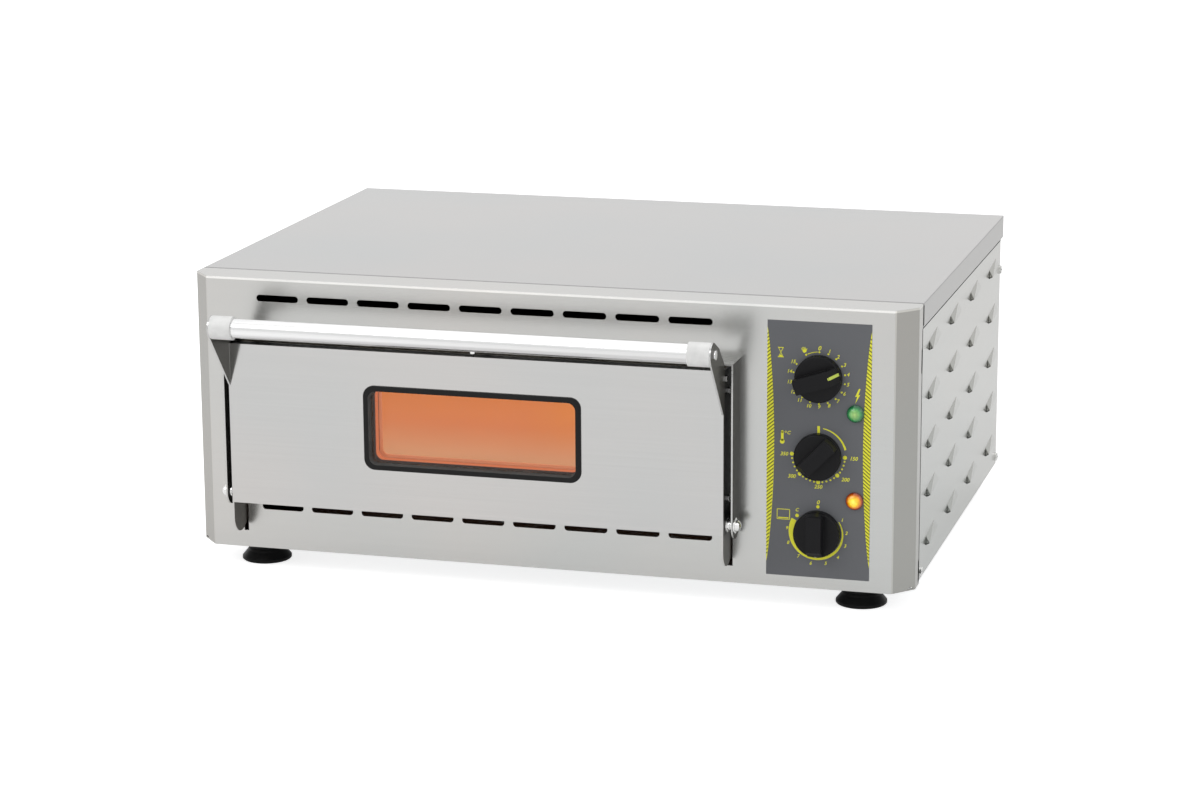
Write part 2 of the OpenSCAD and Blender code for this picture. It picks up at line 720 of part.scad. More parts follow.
// A bright plate under the roof with a half-round trough over each tube.
module upper_reflector() color(white_metal) in_place() {
    half = tube_l / 2 - 8;
    t = 0.8;
    for (i = [0 : tube_count]) {
        from = i == 0 ? sheet + play : tube_y(i - 1) + trough_r;
        to = i == tube_count ? chamber_back - play : tube_y(i) - trough_r;
        block([bay_x - half, from, tube_z], [bay_x + half, to, tube_z + t]);
    }
    for (i = [0 : tube_count - 1]) intersection() {
        difference() {
            rod_x(bay_x - half, bay_x + half, tube_y(i), tube_z, trough_r);
            rod_x(bay_x - half - cut, bay_x + half + cut, tube_y(i), tube_z, trough_r - t);
        }
        block([bay_x - half, tube_y(i) - trough_r, tube_z], [bay_x + half, tube_y(i) + trough_r, roof_z]);
    }
}

function leg_x(i) = bay_x + (i - (leg_count - 1) / 2) * leg_pitch;

// One bent rod: legs from front to back joined by half turns, its two middle legs open at the rear.
module lower_element() color([0.32, 0.28, 0.26]) in_place() {
    mid = leg_count / 2;
    for (i = [0 : leg_count - 1]) {
        terminal = i == mid - 1 || i == mid;
        rod_y(leg_front, terminal ? chamber_back + terminal_l : leg_back, leg_x(i), rod_z, rod_r);
    }
    for (i = [0 : leg_count - 2]) if (i != mid - 1)
        let (behind = (i + mid) % 2 == 0)
            bend(leg_x(i) + leg_pitch / 2, behind ? leg_back : leg_front, behind ? 0 : 180);
}

module bend(x, y, turn) translate([x, y, rod_z]) rotate([0, 0, turn]) rotate_extrude(angle = 180)
    translate([leg_pitch / 2, 0]) circle(rod_r - 0.05);  // a rod thins a little in its bends

module element_clips() color(dark_steel) in_place()
    for (i = [0 : leg_count - 1], y = [leg_front + clip_in, leg_back - clip_in])
        translate([leg_x(i), y, 0])
            block([-clip_w / 2, -clip_w / 2, floor_z], [clip_w / 2, clip_w / 2, rod_z - rod_r]);

// ---- Controls ----

module control_label() color(grey) in_place() difference() {
    block([column_x - label_w / 2, -label_t, label_bottom], [column_x + label_w / 2, 0, label_top]);
    for (z = knob_spots) rod_y(-label_t - cut, cut, column_x, z, shaft_hole_r);
    for (z = lamp_spots) rod_y(-label_t - cut, cut, column_x + lamp_x, z, lamp_hole_r);
}

// A control's case behind the panel, with its neck in the panel's hole and a bore for its shaft.
module control_body(z, depth) color(grey) in_place() difference() {
    union() {
        block([column_x - body_size / 2, sheet + 2, z - body_size / 2],
              [column_x + body_size / 2, sheet + depth, z + body_size / 2]);
        block([column_x - body_size / 2 - 4, sheet, z - 9], [column_x + body_size / 2 + 4, sheet + 2, z + 9]);
        rod_y(0, sheet + 3, column_x, z, shaft_hole_r - 0.1);
        for (i = [-1 : 1]) translate([column_x + i * tag_step, sheet + depth, z - body_size / 4])
            block([-tag_w / 2, 0, 0], [tag_w / 2, tag_l, tag_t]);
    }
    rod_y(-cut, shaft_in + play, column_x, z, shaft_r + run_play);
}

module timer_body() control_body(knob_spots[0], body_depth + 8);
module thermostat_body() control_body(knob_spots[1], body_depth);
module regulator_body() control_body(knob_spots[2], body_depth + 4);

// The sensing bulb on the chamber's side wall and the thin tube from it to the thermostat.
module thermostat_bulb() color([0.75, 0.5, 0.3]) in_place() {
    wall = bay_x + chamber_side;
    r = capillary_r;
    drop_x = column_x - bend_side;
    case_y = sheet + body_depth;
    turn_y = case_y + bend_back;
    rod_y(bulb_y - bulb_l / 2, bulb_y + bulb_l / 2, wall - bulb_r, bulb_z, bulb_r - play);
    rod_x(wall - bulb_r, drop_x, bulb_y, bulb_z, r);
    translate([drop_x, bulb_y, bulb_z]) sphere(r);
    translate([drop_x, bulb_y, knob_z]) cylinder(h = bulb_z - knob_z, r = r);
    translate([drop_x, bulb_y, knob_z]) sphere(r);
    rod_y(turn_y, bulb_y, drop_x, knob_z, r);
    translate([drop_x, turn_y, knob_z]) sphere(r);
    rod_x(drop_x, column_x, turn_y, knob_z, r);
    translate([column_x, turn_y, knob_z]) sphere(r);
    rod_y(case_y, turn_y, column_x, knob_z, r);
}

// Five terminals in a row beside the cord inlet.
module terminal_block() color(ceramic) in_place() translate([inlet_x, rear_in - terminal_in, base_top])
    difference() {
        block([-3 * tag_step, -tag_step, 0], [2 * tag_step, tag_step, terminal_h]);
        for (i = [0 : 4]) translate([(i - 2.5) * tag_step, 0, tag_step])
            cylinder(h = tag_step, r = tag_step / 4);
    }

// A cord gland without a cord: collar and cap outside the rear panel, lock nut inside it.
module cord_inlet() color(black) in_place() difference() {
    from = rear_in - cap_h - 2;
    to = body_d + inlet_out;
    union() {
        rod_y(from, rear_out + cap_h, inlet_x, inlet_z, inlet_r - run_play);
        for (y = [rear_in - cap_h, rear_out]) translate([inlet_x, y, inlet_z]) rotate([-90, 0, 0])
            cylinder(h = cap_h, r = inlet_r + 3, $fn = 6);
        rod_y(rear_out + cap_h, to, inlet_x, inlet_z, inlet_r);
    }
    rod_y(from - cut, to + cut, inlet_x, inlet_z, inlet_bore);
}

// A low dome on a short rim.
module lamp_lens(z) in_place() translate([column_x + lamp_x, -label_t, z]) rotate([90, 0, 0])
    rotate_extrude() {
        square([lamp_r, lens_rim]);
        intersection() {
            translate([0, lens_rim - lens_sink]) circle(norm([lamp_r, lens_sink]));
            translate([0, lens_rim - 0.5]) square([lamp_r, lamp_r]);
        }
    }

module lamp_lens_green() color([0.15, 0.65, 0.35]) lamp_lens(lamp_spots[0]);
module lamp_lens_orange() color([1.0, 0.55, 0.1]) lamp_lens(lamp_spots[1]);

module lamp_bodies() color(ceramic) in_place() for (z = lamp_spots) {
    rod_y(-label_t, sheet + lamp_depth, column_x + lamp_x, z, lamp_hole_r - run_play);
    rod_y(sheet, sheet + 3, column_x + lamp_x, z, lamp_hole_r + 1.6);
}

// A knob in its own frame: z runs out of the panel, and y points where the pointer points.
module knob_form() difference() {
    union() {
        rotate_extrude() difference() {
            square([knob_r, knob_base]);
            translate([knob_r - 1.5, knob_base - 1.5]) difference() {
                square(2);
                circle(1.5);
            }
        }
        intersection() {
            along_x(-grip_w / 2, grip_w / 2) polygon([
                [-knob_r, knob_base / 2], [knob_r, knob_base / 2], [knob_r - 1, knob_base + 0.6],
                [knob_r * 0.63, knob_h], [2 - knob_r, knob_h], [0.6 - knob_r, knob_h - 2]]);
            cylinder(h = knob_h + cut, r = knob_r - 0.6);
        }
    }
    translate([0, 0, -cut]) cylinder(h = shaft_l - 2 + cut, r = shaft_r + run_play);
    translate([0, 0, -cut]) cylinder(h = 3 + cut, r = knob_r - 3);
}

module knob_at(z, turn) color(black) in_place() translate([column_x, -knob_back, z]) rotate([0, turn, 0])
    rotate([90, 0, 0]) knob_form();

module shaft_at(z) color(white_metal) in_place()
    rod_y(-knob_back - shaft_l + 2 + play, shaft_in, column_x, z, shaft_r);

module timer_knob() knob_at(knob_spots[0], timer_turn);
module thermostat_knob() knob_at(knob_spots[1], thermostat_turn);
module regulator_knob() knob_at(knob_spots[2], regulator_turn);
module timer_shaft() shaft_at(knob_spots[0]);
module thermostat_shaft() shaft_at(knob_spots[1]);
module regulator_shaft() shaft_at(knob_spots[2]);

// ---- Door ----

// Side of the door in its own plane: flange, stop tab below and handle ear above, in one sheet.
module door_side_plan() {
    head = [-bar_reach, bar_z];
    tip = [-door_reach, ear_tip];
    shoulder = [-hood_reach - ear_gap, hood_top + 1];
    d = norm(head - tip);
    dir = atan2(head.y - tip.y, head.x - tip.x);
    front_turn = dir + 90 + asin(collar_r / d);
    ridge = [21 - bar_reach, bar_z + 1.2];
    back_d = norm(head - ridge);
    back_dir = atan2(head.y - ridge.y, head.x - ridge.x);
    back_turn = back_dir - 90 - asin(collar_r / back_d);
    difference() {
        union() {
            translate([-door_reach, door_bottom]) square([door_reach - shell_back, door_top - door_bottom]);
            translate([-door_reach, tab_end + tab_r]) square([2 * tab_r, pivot_z + 4 - tab_end - tab_r]);
            translate([-tab_mid, tab_end + tab_r]) circle(tab_r);
            translate(head) circle(collar_r);
            polygon([
                tip,
                head + collar_r * [cos(front_turn), sin(front_turn)],
                head,
                head + collar_r * [cos(back_turn), sin(back_turn)],
                ridge,
                shoulder,
                [-hood_reach - ear_gap, door_top - 1],
                [6 - door_reach, door_top - 6],
                [6 - door_reach, ear_tip]]);
        }
        translate([-pivot_reach, pivot_z]) circle(bolt_r + run_play);
        translate(head) circle(ear_screw_r + run_play);
        for (s = door_screw_spots) translate(s) circle(screw_r + run_play);
    }
}

module door_outer_pan() color(steel) in_place() {
    difference() {
        block([bay_x - door_side, -door_reach, door_bottom],
              [bay_x + door_side, door_sheet - door_reach, door_top]);
        along_y(-door_reach - cut, door_sheet - door_reach + cut) translate([bay_x, window_z])
            round_rect(view_w + 2 * neck, view_h + 2 * neck, view_corner + neck);
    }
    for (z = [door_bottom, door_top - door_sheet])
        block([bay_x - door_side, -door_reach, z], [bay_x + door_side, return_d - door_reach, z + door_sheet]);
    both_sides() along_x(door_side - door_sheet, door_side) door_side_plan();
}

module door_inner_pan() color(dark_steel) in_place() difference() {
    block([bay_x - inner_side, -inner_deep, inner_bottom], [bay_x + inner_side, -shell_back, inner_top]);
    block([bay_x - inner_side + inner_sheet, -inner_deep - cut, inner_bottom + inner_sheet],
          [bay_x + inner_side - inner_sheet, -shell_back - inner_sheet, inner_top - inner_sheet]);
    along_y(-shell_back - inner_sheet - cut, cut) translate([bay_x, window_z])
        round_rect(view_w, view_h, view_corner);
    both_sides() for (s = door_screw_spots)
        rod_x(inner_side - 2 * inner_sheet, inner_side + cut, s.x, s.y, screw_r + run_play);
}

module door_insulation() color(wool) in_place() difference() {
    gap = inner_sheet + 2;
    block([bay_x - inner_side + 10, -door_reach + door_sheet, inner_bottom + gap],
          [bay_x + inner_side - 10, -shell_back - inner_sheet, inner_top - gap]);
    along_y(-door_reach, 0) translate([bay_x, window_z])
        round_rect(view_w + 2 * neck + 6, view_h + 2 * neck + 6, view_corner + neck + 3);
}

module window_gasket() color(black) in_place() {
    nw = view_w + 2 * neck;
    nh = view_h + 2 * neck;
    nr = view_corner + neck;
    window_ring(door_reach, door_reach + gasket_proud, gasket_w, gasket_h, gasket_corner,
                view_w, view_h, view_corner);
    window_ring(pane_front, door_reach, nw - play, nh - play, nr, view_w, view_h, view_corner);
    window_ring(pane_back, pane_front, nw - play, nh - play, nr,
                view_w + 2 * groove, view_h + 2 * groove, view_corner + groove);
    window_ring(gasket_back, pane_back, nw - play, nh - play, nr, view_w, view_h, view_corner);
}

module window_glass_outer() color([0.9, 0.6, 0.4, 0.5]) in_place() along_y(-pane_front, -pane_back)
    translate([bay_x, window_z]) round_rect(view_w + 2 * groove, view_h + 2 * groove, view_corner + groove);

// A sheet frame that lines the window between the gasket and the inner pane.
module window_tunnel() color(dark_steel) in_place() window_ring(inner_pane_front, gasket_back,
    view_w + 2 * tunnel_gap + 2, view_h + 2 * tunnel_gap + 2, view_corner + tunnel_gap + 1,
    view_w + 2 * tunnel_gap, view_h + 2 * tunnel_gap, view_corner + tunnel_gap);

module window_glass_inner() color([0.9, 0.6, 0.4, 0.5]) in_place()
    along_y(-inner_pane_front, glass - inner_pane_front) translate([bay_x, window_z])
        round_rect(view_w + 2 * neck + 4, view_h + 2 * neck + 4, view_corner + neck);

module handle_bar() color(white_metal) in_place() difference() {
    half = door_side - door_sheet - collar_end;
    rod_x(bay_x - half, bay_x + half, -bar_reach, bar_z, bar_r);
    rod_x(bay_x - half - cut, bay_x + half + cut, -bar_reach, bar_z, bar_r - bar_wall);
}

// A collar closes the bar's end against its ear and is tapped for the screw.
module handle_collar(side) color([0.8, 0.8, 0.8]) in_place() translate([bay_x, 0, 0]) mirror([side, 0, 0])
    difference() {
        out = door_side - door_sheet;
        rod_x(out - collar_l, out, -bar_reach, bar_z, collar_r);
        rod_x(out - collar_l - cut, out - collar_end + run_play, -bar_reach, bar_z, bar_r + run_play);
        rod_x(out - collar_end - cut, out + cut, -bar_reach, bar_z, ear_screw_r + run_play);
    }

module handle_collar_left() handle_collar(1);
module handle_collar_right() handle_collar(0);

module handle_screws() color(white_metal) in_place() both_sides() {
    rod_x(door_side - door_sheet - collar_end + 1, door_side + 1, -bar_reach, bar_z, ear_screw_r);
    rod_x(door_side, door_side + screw_head_h, -bar_reach, bar_z, screw_head_r);
}

module door_screws() color(white_metal) in_place() both_sides() for (s = door_screw_spots) {
    rod_x(inner_side - inner_sheet - 3, door_side + 1, s.x, s.y, screw_r);
    rod_x(door_side, door_side + 1.8, s.x, s.y, 3.4);
}

// ---- Housing screws ----

module housing_screws() color(white_metal) in_place() for (m = [0, 1], s = side_screws) mirror([m, 0, 0]) {
    rod_x(side_in - screw_l, side_out + 1, s.x, s.y, screw_r);
    difference() {
        rod_x(side_out, side_out + screw_head_h, s.x, s.y, screw_head_r);
        block([side_out + 1.4, s.x - 0.5, s.y - 2.6], [side_out + 4, s.x + 0.5, s.y + 2.6]);
        block([side_out + 1.4, s.x - 2.6, s.y - 0.5], [side_out + 4, s.x + 2.6, s.y + 0.5]);
    }
}

front_panel();
door_hood();
top_cover();
side_panel_left();
side_panel_right();
rear_panel();
base_pan();
partition();
chamber_supports();
chamber_liner();
chamber_insulation();
refractory_stone();
stone_rails();
quartz_tubes();
tube_filaments();
tube_holders();
upper_reflector();
lower_element();
element_clips();
control_label();
timer_body();
thermostat_body();
regulator_body();
thermostat_bulb();
terminal_block();
cord_inlet();
lamp_lens_green();
lamp_lens_orange();
lamp_bodies();
for (i = [0 : 3]) foot(foot_spots[i]);
foot_screws();
hinge_bolts();
hinge_washers();
door_catch();
housing_screws();
door_outer_pan();
door_inner_pan();
door_insulation();
window_gasket();
window_glass_outer();
window_tunnel();
window_glass_inner();
handle_bar();
handle_collar_left();
handle_collar_right();
handle_screws();
door_screws();
timer_knob();
timer_shaft();
thermostat_knob();
thermostat_shaft();
regulator_knob();
regulator_shaft();
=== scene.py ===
import math
import bmesh
import bpy
from mathutils import Matrix, Vector


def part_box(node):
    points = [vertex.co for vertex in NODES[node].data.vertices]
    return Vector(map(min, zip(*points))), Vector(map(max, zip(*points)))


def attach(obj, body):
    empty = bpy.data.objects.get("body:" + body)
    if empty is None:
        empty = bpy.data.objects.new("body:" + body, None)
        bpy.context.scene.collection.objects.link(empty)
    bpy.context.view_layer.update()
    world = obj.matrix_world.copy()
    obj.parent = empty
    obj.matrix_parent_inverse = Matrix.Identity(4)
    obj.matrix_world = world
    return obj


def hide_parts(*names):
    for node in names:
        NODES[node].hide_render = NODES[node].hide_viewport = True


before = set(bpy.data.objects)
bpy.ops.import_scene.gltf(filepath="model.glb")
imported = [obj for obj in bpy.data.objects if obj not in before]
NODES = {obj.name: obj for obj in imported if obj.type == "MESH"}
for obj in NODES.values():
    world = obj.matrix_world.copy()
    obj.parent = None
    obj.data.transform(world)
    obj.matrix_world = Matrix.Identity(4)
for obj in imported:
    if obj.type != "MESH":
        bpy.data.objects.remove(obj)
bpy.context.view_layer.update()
MM = 0.001


# ---- Places, read off the frame in metres, and in mm by box_mm ----

def mid(node):
    low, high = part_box(node)
    return (Vector(low) + Vector(high)) / 2


def box_mm(node):
    return [[v / MM for v in corner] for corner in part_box(node)]


LABEL_LOW, LABEL_HIGH = (Vector(c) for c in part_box("control_label"))
LABEL_Y = LABEL_LOW.y
COLUMN_X = mid("timer_shaft").x
KNOB_Z = [mid(n).z for n in ("timer_shaft", "thermostat_shaft", "regulator_shaft")]
KNOB_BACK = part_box("timer_knob")[1][1]
PANEL_LOW, PANEL_HIGH = box_mm("front_panel")
COVER_LOW, COVER_HIGH = box_mm("top_cover")
FRONT, LEG_END, BASE, TOP = PANEL_LOW[1], PANEL_HIGH[1], PANEL_LOW[2], COVER_HIGH[2]


# ---- Node trees ----

class Tree:
    """A material's or world's nodes. Most calls make one node and return the output that is used. Values
    given to them are plain or another node's output."""

    def __init__(self, name, library="materials", main="Principled BSDF"):
        self.block = getattr(bpy.data, library).new(name)
        self.block.use_nodes = True
        self.nodes = self.block.node_tree.nodes
        self.main = self.nodes[main]

    def plug(self, value, socket):
        if isinstance(value, bpy.types.NodeSocket):
            self.block.node_tree.links.new(value, socket)
        elif socket.type == "RGBA":
            socket.default_value = (*value, 1)
        else:
            socket.default_value = value

    def add(self, kind, settings=None, **inputs):
        """A node. Its inputs are named with an underscore for each blank."""
        node = self.nodes.new("ShaderNode" + kind)
        for key, value in (settings or {}).items():
            setattr(node, key, value)
        for key, value in inputs.items():
            self.plug(value, node.inputs[key.replace("_", " ")])
        return node

    def set(self, **inputs):
        """Sets the main shader's inputs and returns the material or world."""
        for key, value in inputs.items():
            self.plug(value, self.main.inputs[key.replace("_", " ")])
        return self.block

    def show(self, shader):
        """Puts another shader in the main one's place and returns the material."""
        self.plug(shader.outputs[0], self.nodes["Material Output"].inputs["Surface"])
        return self.block

    def math(self, operation, *values):
        """The result of a sum, product or comparison of values, as the operation says."""
        node = self.add("Math", {"operation": operation})
        for value, socket in zip(values, node.inputs):
            self.plug(value, socket)
        return node.outputs[0]

    def place(self):
        """Where a point lies on the object, in metres."""
        return self.add("TexCoord").outputs["Object"]

    def scaled_place(self, scale):
        return self.add("Mapping", Vector=self.place(), Scale=scale).outputs["Vector"]

    def part(self, vector, axis):
        return self.add("SeparateXYZ", Vector=vector).outputs[axis]

    def facing(self, axis):
        """How far a face turns along an axis, from -1 to 1."""
        return self.part(self.add("NewGeometry").outputs["True Normal"], axis)

    def noise(self, scale, detail, rough, stretch=(1, 1, 1)):
        """Noise from 0 to 1. A small number in stretch draws it out along that axis."""
        where = self.scaled_place([scale * s for s in stretch])
        return self.add("TexNoise", Vector=where, Scale=1.0, Detail=detail, Roughness=rough).outputs["Fac"]

    def ramp(self, share, *stops):
        """Colours by a share, from stops of (place, colour)."""
        node = self.add("ValToRGB", Fac=share)
        spots = node.color_ramp.elements
        while len(spots) < len(stops):
            spots.new(0.5)
        for spot, (position, colour) in zip(spots, stops):
            spot.position = position
            spot.color = (*colour, 1)
        return node.outputs["Color"]

    def span(self, value, lo, hi, a=0.3, b=0.7):
        """lo where the value is a, hi where it is b, and even between."""
        node = self.add("MapRange", Value=value, From_Min=a, From_Max=b, To_Min=lo, To_Max=hi)
        return node.outputs["Result"]

    def along(self, axis, a, b):
        """A share from 0 to 1 between two places along one of the object's axes, in metres."""
        return self.span(self.part(self.place(), axis), 0.0, 1.0, a, b)

    def mix(self, share, a, b, blend="MIX"):
        node = self.add("Mix", {"data_type": "RGBA", "blend_type": blend})
        self.plug(share, node.inputs[0])
        for value, socket in zip((a, b), [s for s in node.inputs if s.type == "RGBA"]):
            self.plug(value, socket)
        return [s for s in node.outputs if s.type == "RGBA"][0]

    def multiply(self, a, b, share=1.0):
        return self.mix(share, a, b, "MULTIPLY")

    def bump(self, height, strength, distance, normal=None):
        """A bump of a distance in mm, laid over another normal where one is given."""
        node = self.add("Bump", Height=height, Strength=strength, Distance=distance * MM)
        if normal:
            self.plug(normal, node.inputs["Normal"])
        return node.outputs["Normal"]

    def soft_edges(self, radius):
        """Normals that round sharp edges to a radius in mm."""
        return self.add("Bevel", {"samples": 4}, Radius=radius * MM).outputs["Normal"]

    def within(self, places):
        """A mask of what lies near a middle along every axis given: axis, middle and half width in mm."""
        mask = 1.0
        for axis, middle, half in places:
            near = self.math("COMPARE", self.part(self.place(), axis), middle * MM, half * MM)
            mask = self.math("MULTIPLY", mask, near)
        return mask


def scaled(colour, share):
    return tuple(min(1, c * share) for c in colour)


# ---- Metals ----

SIDE_FLAT, SIDE_TILTED = 0.9999, 0.9992      # how far a side sheet's flat and pressed faces turn sideways
DULLER = 0.22                                # roughness added to the faces that side_metal dulls


def brushed(name, colour, grain, rough, side_shade=None, limit=0.9, side_metal=1.0, wave=0.1, marks=(),
            pressed_shade=None):
    """Brushed sheet. grain is small along the brushing and large across it. side_shade is painted shade: a
    grey for the faces that turn to the object's left or right by more than limit, where side_metal also gives
    them a duller finish. pressed_shade is painted shade on faces that turn a little off a side sheet's flat.
    marks are painted highlights and painted shade along bends, joints and gaps: the places, and a grey to
    multiply by."""
    t = Tree(name)
    streaks = t.noise(1.0, 4.0, 0.65, grain)
    lines = t.ramp(streaks, (0.3, scaled(colour, 0.98)), (0.7, scaled(colour, 1.02)))
    tint = t.ramp(t.noise(4.0, 2.0, 0.5), (0.35, (1.0, 0.98, 0.965)), (0.65, (0.945, 0.96, 0.96)))
    base = t.multiply(lines, tint)
    gloss = t.span(streaks, *rough)
    metal = 1.0
    # Painted shade: the faces that turn to the left or right are multiplied by a grey.
    if side_shade:
        turned = t.math("GREATER_THAN", t.math("ABSOLUTE", t.facing("X")), limit)
        base = t.multiply(base, side_shade, turned)
        if side_metal < 1.0:
            metal = t.span(turned, 1.0, side_metal, 0.0, 1.0)
            gloss = t.math("MULTIPLY_ADD", turned, DULLER, gloss)
            t.set(Specular_IOR_Level=0.12)
    # Painted highlights and painted shade along bends, joints and gaps.
    for places, grey in marks:
        base = t.multiply(base, (grey, grey, grey), t.within(places))
    # Painted shade on the louvres' pressed facets.
    if pressed_shade:
        tilted = t.span(t.math("ABSOLUTE", t.facing("X")), 0.0, 1.0, SIDE_FLAT, SIDE_TILTED)
        base = t.multiply(base, pressed_shade, tilted)
    waves = t.bump(t.noise(4.0, 1.0, 0.3), wave, 0.5, t.soft_edges(0.3))
    return t.set(Base_Color=base, Metallic=metal, Roughness=gloss, Normal=t.bump(streaks, 0.06, 0.02, waves))


def polished(name, colour, rough=(0.08, 0.18)):
    """Bright metal with faint lines along the part's width."""
    t = Tree(name)
    lines = t.noise(1.0, 3.0, 0.6, (4, 900, 900))
    return t.set(Base_Color=t.ramp(lines, (0.3, scaled(colour, 0.96)), (0.7, colour)), Metallic=1.0,
                 Roughness=t.span(lines, *rough), Normal=t.bump(lines, 0.03, 0.02, t.soft_edges(0.25)))


def bar_material():
    """Drawn tube, polished along its length, with a few broad grey bands along it that are painted shade, and
    fine hairlines.
    """
    t = Tree("bar_steel")
    shade_bands = t.noise(1.0, 1.0, 0.4, (0.8, 150, 150))
    fine = t.noise(1.0, 3.0, 0.6, (3, 600, 600))
    # Painted shade: broad grey bands along the tube.
    lines = t.ramp(shade_bands, (0.36, (0.66, 0.66, 0.66)), (0.5, (0.83, 0.83, 0.83)), (0.64, (0.94, 0.94, 0.94)))
    hair = t.ramp(fine, (0.3, (0.97, 0.97, 0.97)), (0.7, (1.0, 1.0, 1.0)))
    return t.set(Base_Color=t.multiply(lines, hair), Roughness=t.span(fine, 0.18, 0.24), Metallic=1.0,
                 Normal=t.bump(fine, 0.02, 0.02))


# ---- What the chamber heats and lights ----

CHAMBER_LIGHT = (0.95, 0.28, 0.05)
LINING_LIGHT = (0.50, 0.13, 0.05)      # the chamber's light on the sheet round the window


def heated(name, *stops):
    """The tree of a sheet with heat tint."""
    t = Tree(name)
    cloud = t.noise(14.0, 5.0, 0.6)
    lines = t.noise(1.0, 3.0, 0.6, (6, 500, 500))
    t.set(Base_Color=t.ramp(cloud, *stops), Roughness=t.span(cloud, 0.35, 0.55), Metallic=0.9,
          Normal=t.bump(lines, 0.1, 0.03, t.soft_edges(0.3)))
    return t


def chamber_material():
    t = heated("chamber_sheet", (0.3, (0.34, 0.31, 0.27)), (0.52, (0.40, 0.30, 0.18)),
               (0.75, (0.238, 0.217, 0.189)))
    return t.set(Emission_Color=CHAMBER_LIGHT, Emission_Strength=0.2)


def inside_material():
    """The door's inner sheet. Its edge round the window catches the chamber's light."""
    t = heated("door_inside", (0.3, (0.40, 0.38, 0.35)), (0.52, (0.46, 0.38, 0.28)),
               (0.75, (0.28, 0.27, 0.25)))
    low, high = box_mm("window_tunnel")
    near = t.within([(axis, (high[i] + low[i]) / 2, (high[i] - low[i]) / 2)
                     for axis, i in (("X", 0), ("Z", 2))])
    outward = t.math("LESS_THAN", t.facing("Y"), 0.5)
    lit = t.mix(t.math("MULTIPLY", near, outward), (0, 0, 0), LINING_LIGHT)
    return t.set(Emission_Color=lit, Emission_Strength=0.8)


def tunnel_material():
    """The window's lining: dark at its front, lit by the chamber at its back."""
    t = Tree("tunnel_sheet")
    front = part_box("window_tunnel")[0][1]
    back = t.along("Y", front + 4.5 * MM, front + 6.5 * MM)
    scale = t.noise(60.0, 4.0, 0.6)
    dark = t.ramp(scale, (0.3, (0.035, 0.035, 0.035)), (0.7, (0.050, 0.048, 0.046)))
    return t.set(Base_Color=t.mix(back, dark, (0.20, 0.09, 0.05)), Roughness=t.span(scale, 0.75, 0.9),
                 Emission_Color=t.mix(back, (0.03, 0.03, 0.03), LINING_LIGHT), Emission_Strength=1.0,
                 Normal=t.bump(scale, 0.1, 0.03), Specular_IOR_Level=0.0)


def wool_material():
    """Mineral wool, coloured near black as painted shade for the dark seen through the vents."""
    t = Tree("wool")
    fibre = t.noise(1.0, 6.0, 0.7, (300, 900, 900))
    return t.set(Base_Color=t.ramp(fibre, (0.3, (0.010, 0.009, 0.008)), (0.7, (0.035, 0.032, 0.028))),
                 Normal=t.bump(fibre, 0.7, 0.8), Roughness=0.95, Specular_IOR_Level=0.05)


def stone_material():
    """Fired stone with a painted glow that stands in for the light of the tubes over it, most at its far
    right.
    """
    t = Tree("stone")
    grit = t.noise(420.0, 6.0, 0.7)
    cloud = t.noise(9.0, 2.0, 0.5)
    grains = t.ramp(grit, (0.35, (0.20, 0.12, 0.07)), (0.55, (0.30, 0.20, 0.13)))
    (_, front, _), (right, _, _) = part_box("refractory_stone")
    # Painted light of the tubes, set as the stone's glow.
    depth = t.ramp(t.along("Y", front, front + 0.30), (0.0, (0.55, 0.30, 0.17)), (0.45, (0.56, 0.19, 0.075)),
                   (1.0, (0.58, 0.19, 0.04)))
    gold = t.mix(t.along("X", mid("window_gasket").x - 0.02, right - 0.03), depth, (0.68, 0.27, 0.0))
    light = t.mix(t.along("Y", front + 0.05, front + 0.22), depth, gold)
    patches = t.ramp(cloud, (0.3, (0.93, 0.90, 0.92)), (0.7, (1.0, 1.0, 1.0)))
    return t.set(Base_Color=t.mix(cloud, grains, (0.26, 0.16, 0.10)), Roughness=0.9, Specular_IOR_Level=0.2,
                 Emission_Color=t.multiply(light, patches), Emission_Strength=0.92,
                 Normal=t.bump(grit, 0.3, 0.3, t.soft_edges(1.2)))


def quartz_material():
    """Milky tube, bright with the wire inside it."""
    t = Tree("quartz")
    milk = t.noise(1.0, 3.0, 0.5, (20, 300, 300))
    return t.set(Base_Color=t.ramp(milk, (0.3, (0.95, 0.62, 0.38)), (0.7, (1.0, 0.8, 0.6))),
                 Roughness=t.span(milk, 0.08, 0.25), Coat_Weight=0.5,
                 Emission_Color=(1.0, 0.34, 0.07), Emission_Strength=1.6)


def glowing(name, colour, strength):
    """A hot wire or rod, with bands of brighter and duller light along it."""
    t = Tree(name)
    coil = t.add("TexWave", {"wave_type": "BANDS", "bands_direction": "X"}, Vector=t.place(), Scale=90.0,
                 Distortion=0.4).outputs["Fac"]
    hot = t.ramp(coil, (0.2, scaled(colour, 0.45)), (0.7, colour))
    return t.set(Base_Color=hot, Emission_Color=hot, Emission_Strength=strength, Roughness=0.6,
                 Normal=t.bump(coil, 0.5, 0.4))


# ---- Glass, plastic and print ----

def glass_material(name, tint, ior):
    """A clear pane that lets light straight through and mirrors a little."""
    t = Tree(name)
    smear = t.span(t.noise(40.0, 4.0, 0.6), 0.02, 0.09)
    clear = t.add("BsdfTransparent", Color=tint)
    shine = t.add("BsdfGlossy", Color=(1, 1, 1), Roughness=smear)
    both = t.add("MixShader", Fac=t.add("Fresnel", IOR=ior).outputs[0])
    t.plug(clear.outputs[0], both.inputs[1])
    t.plug(shine.outputs[0], both.inputs[2])
    return t.show(both)


LENS_SPAN = 9.0      # mm from a lens's middle that its stops count to


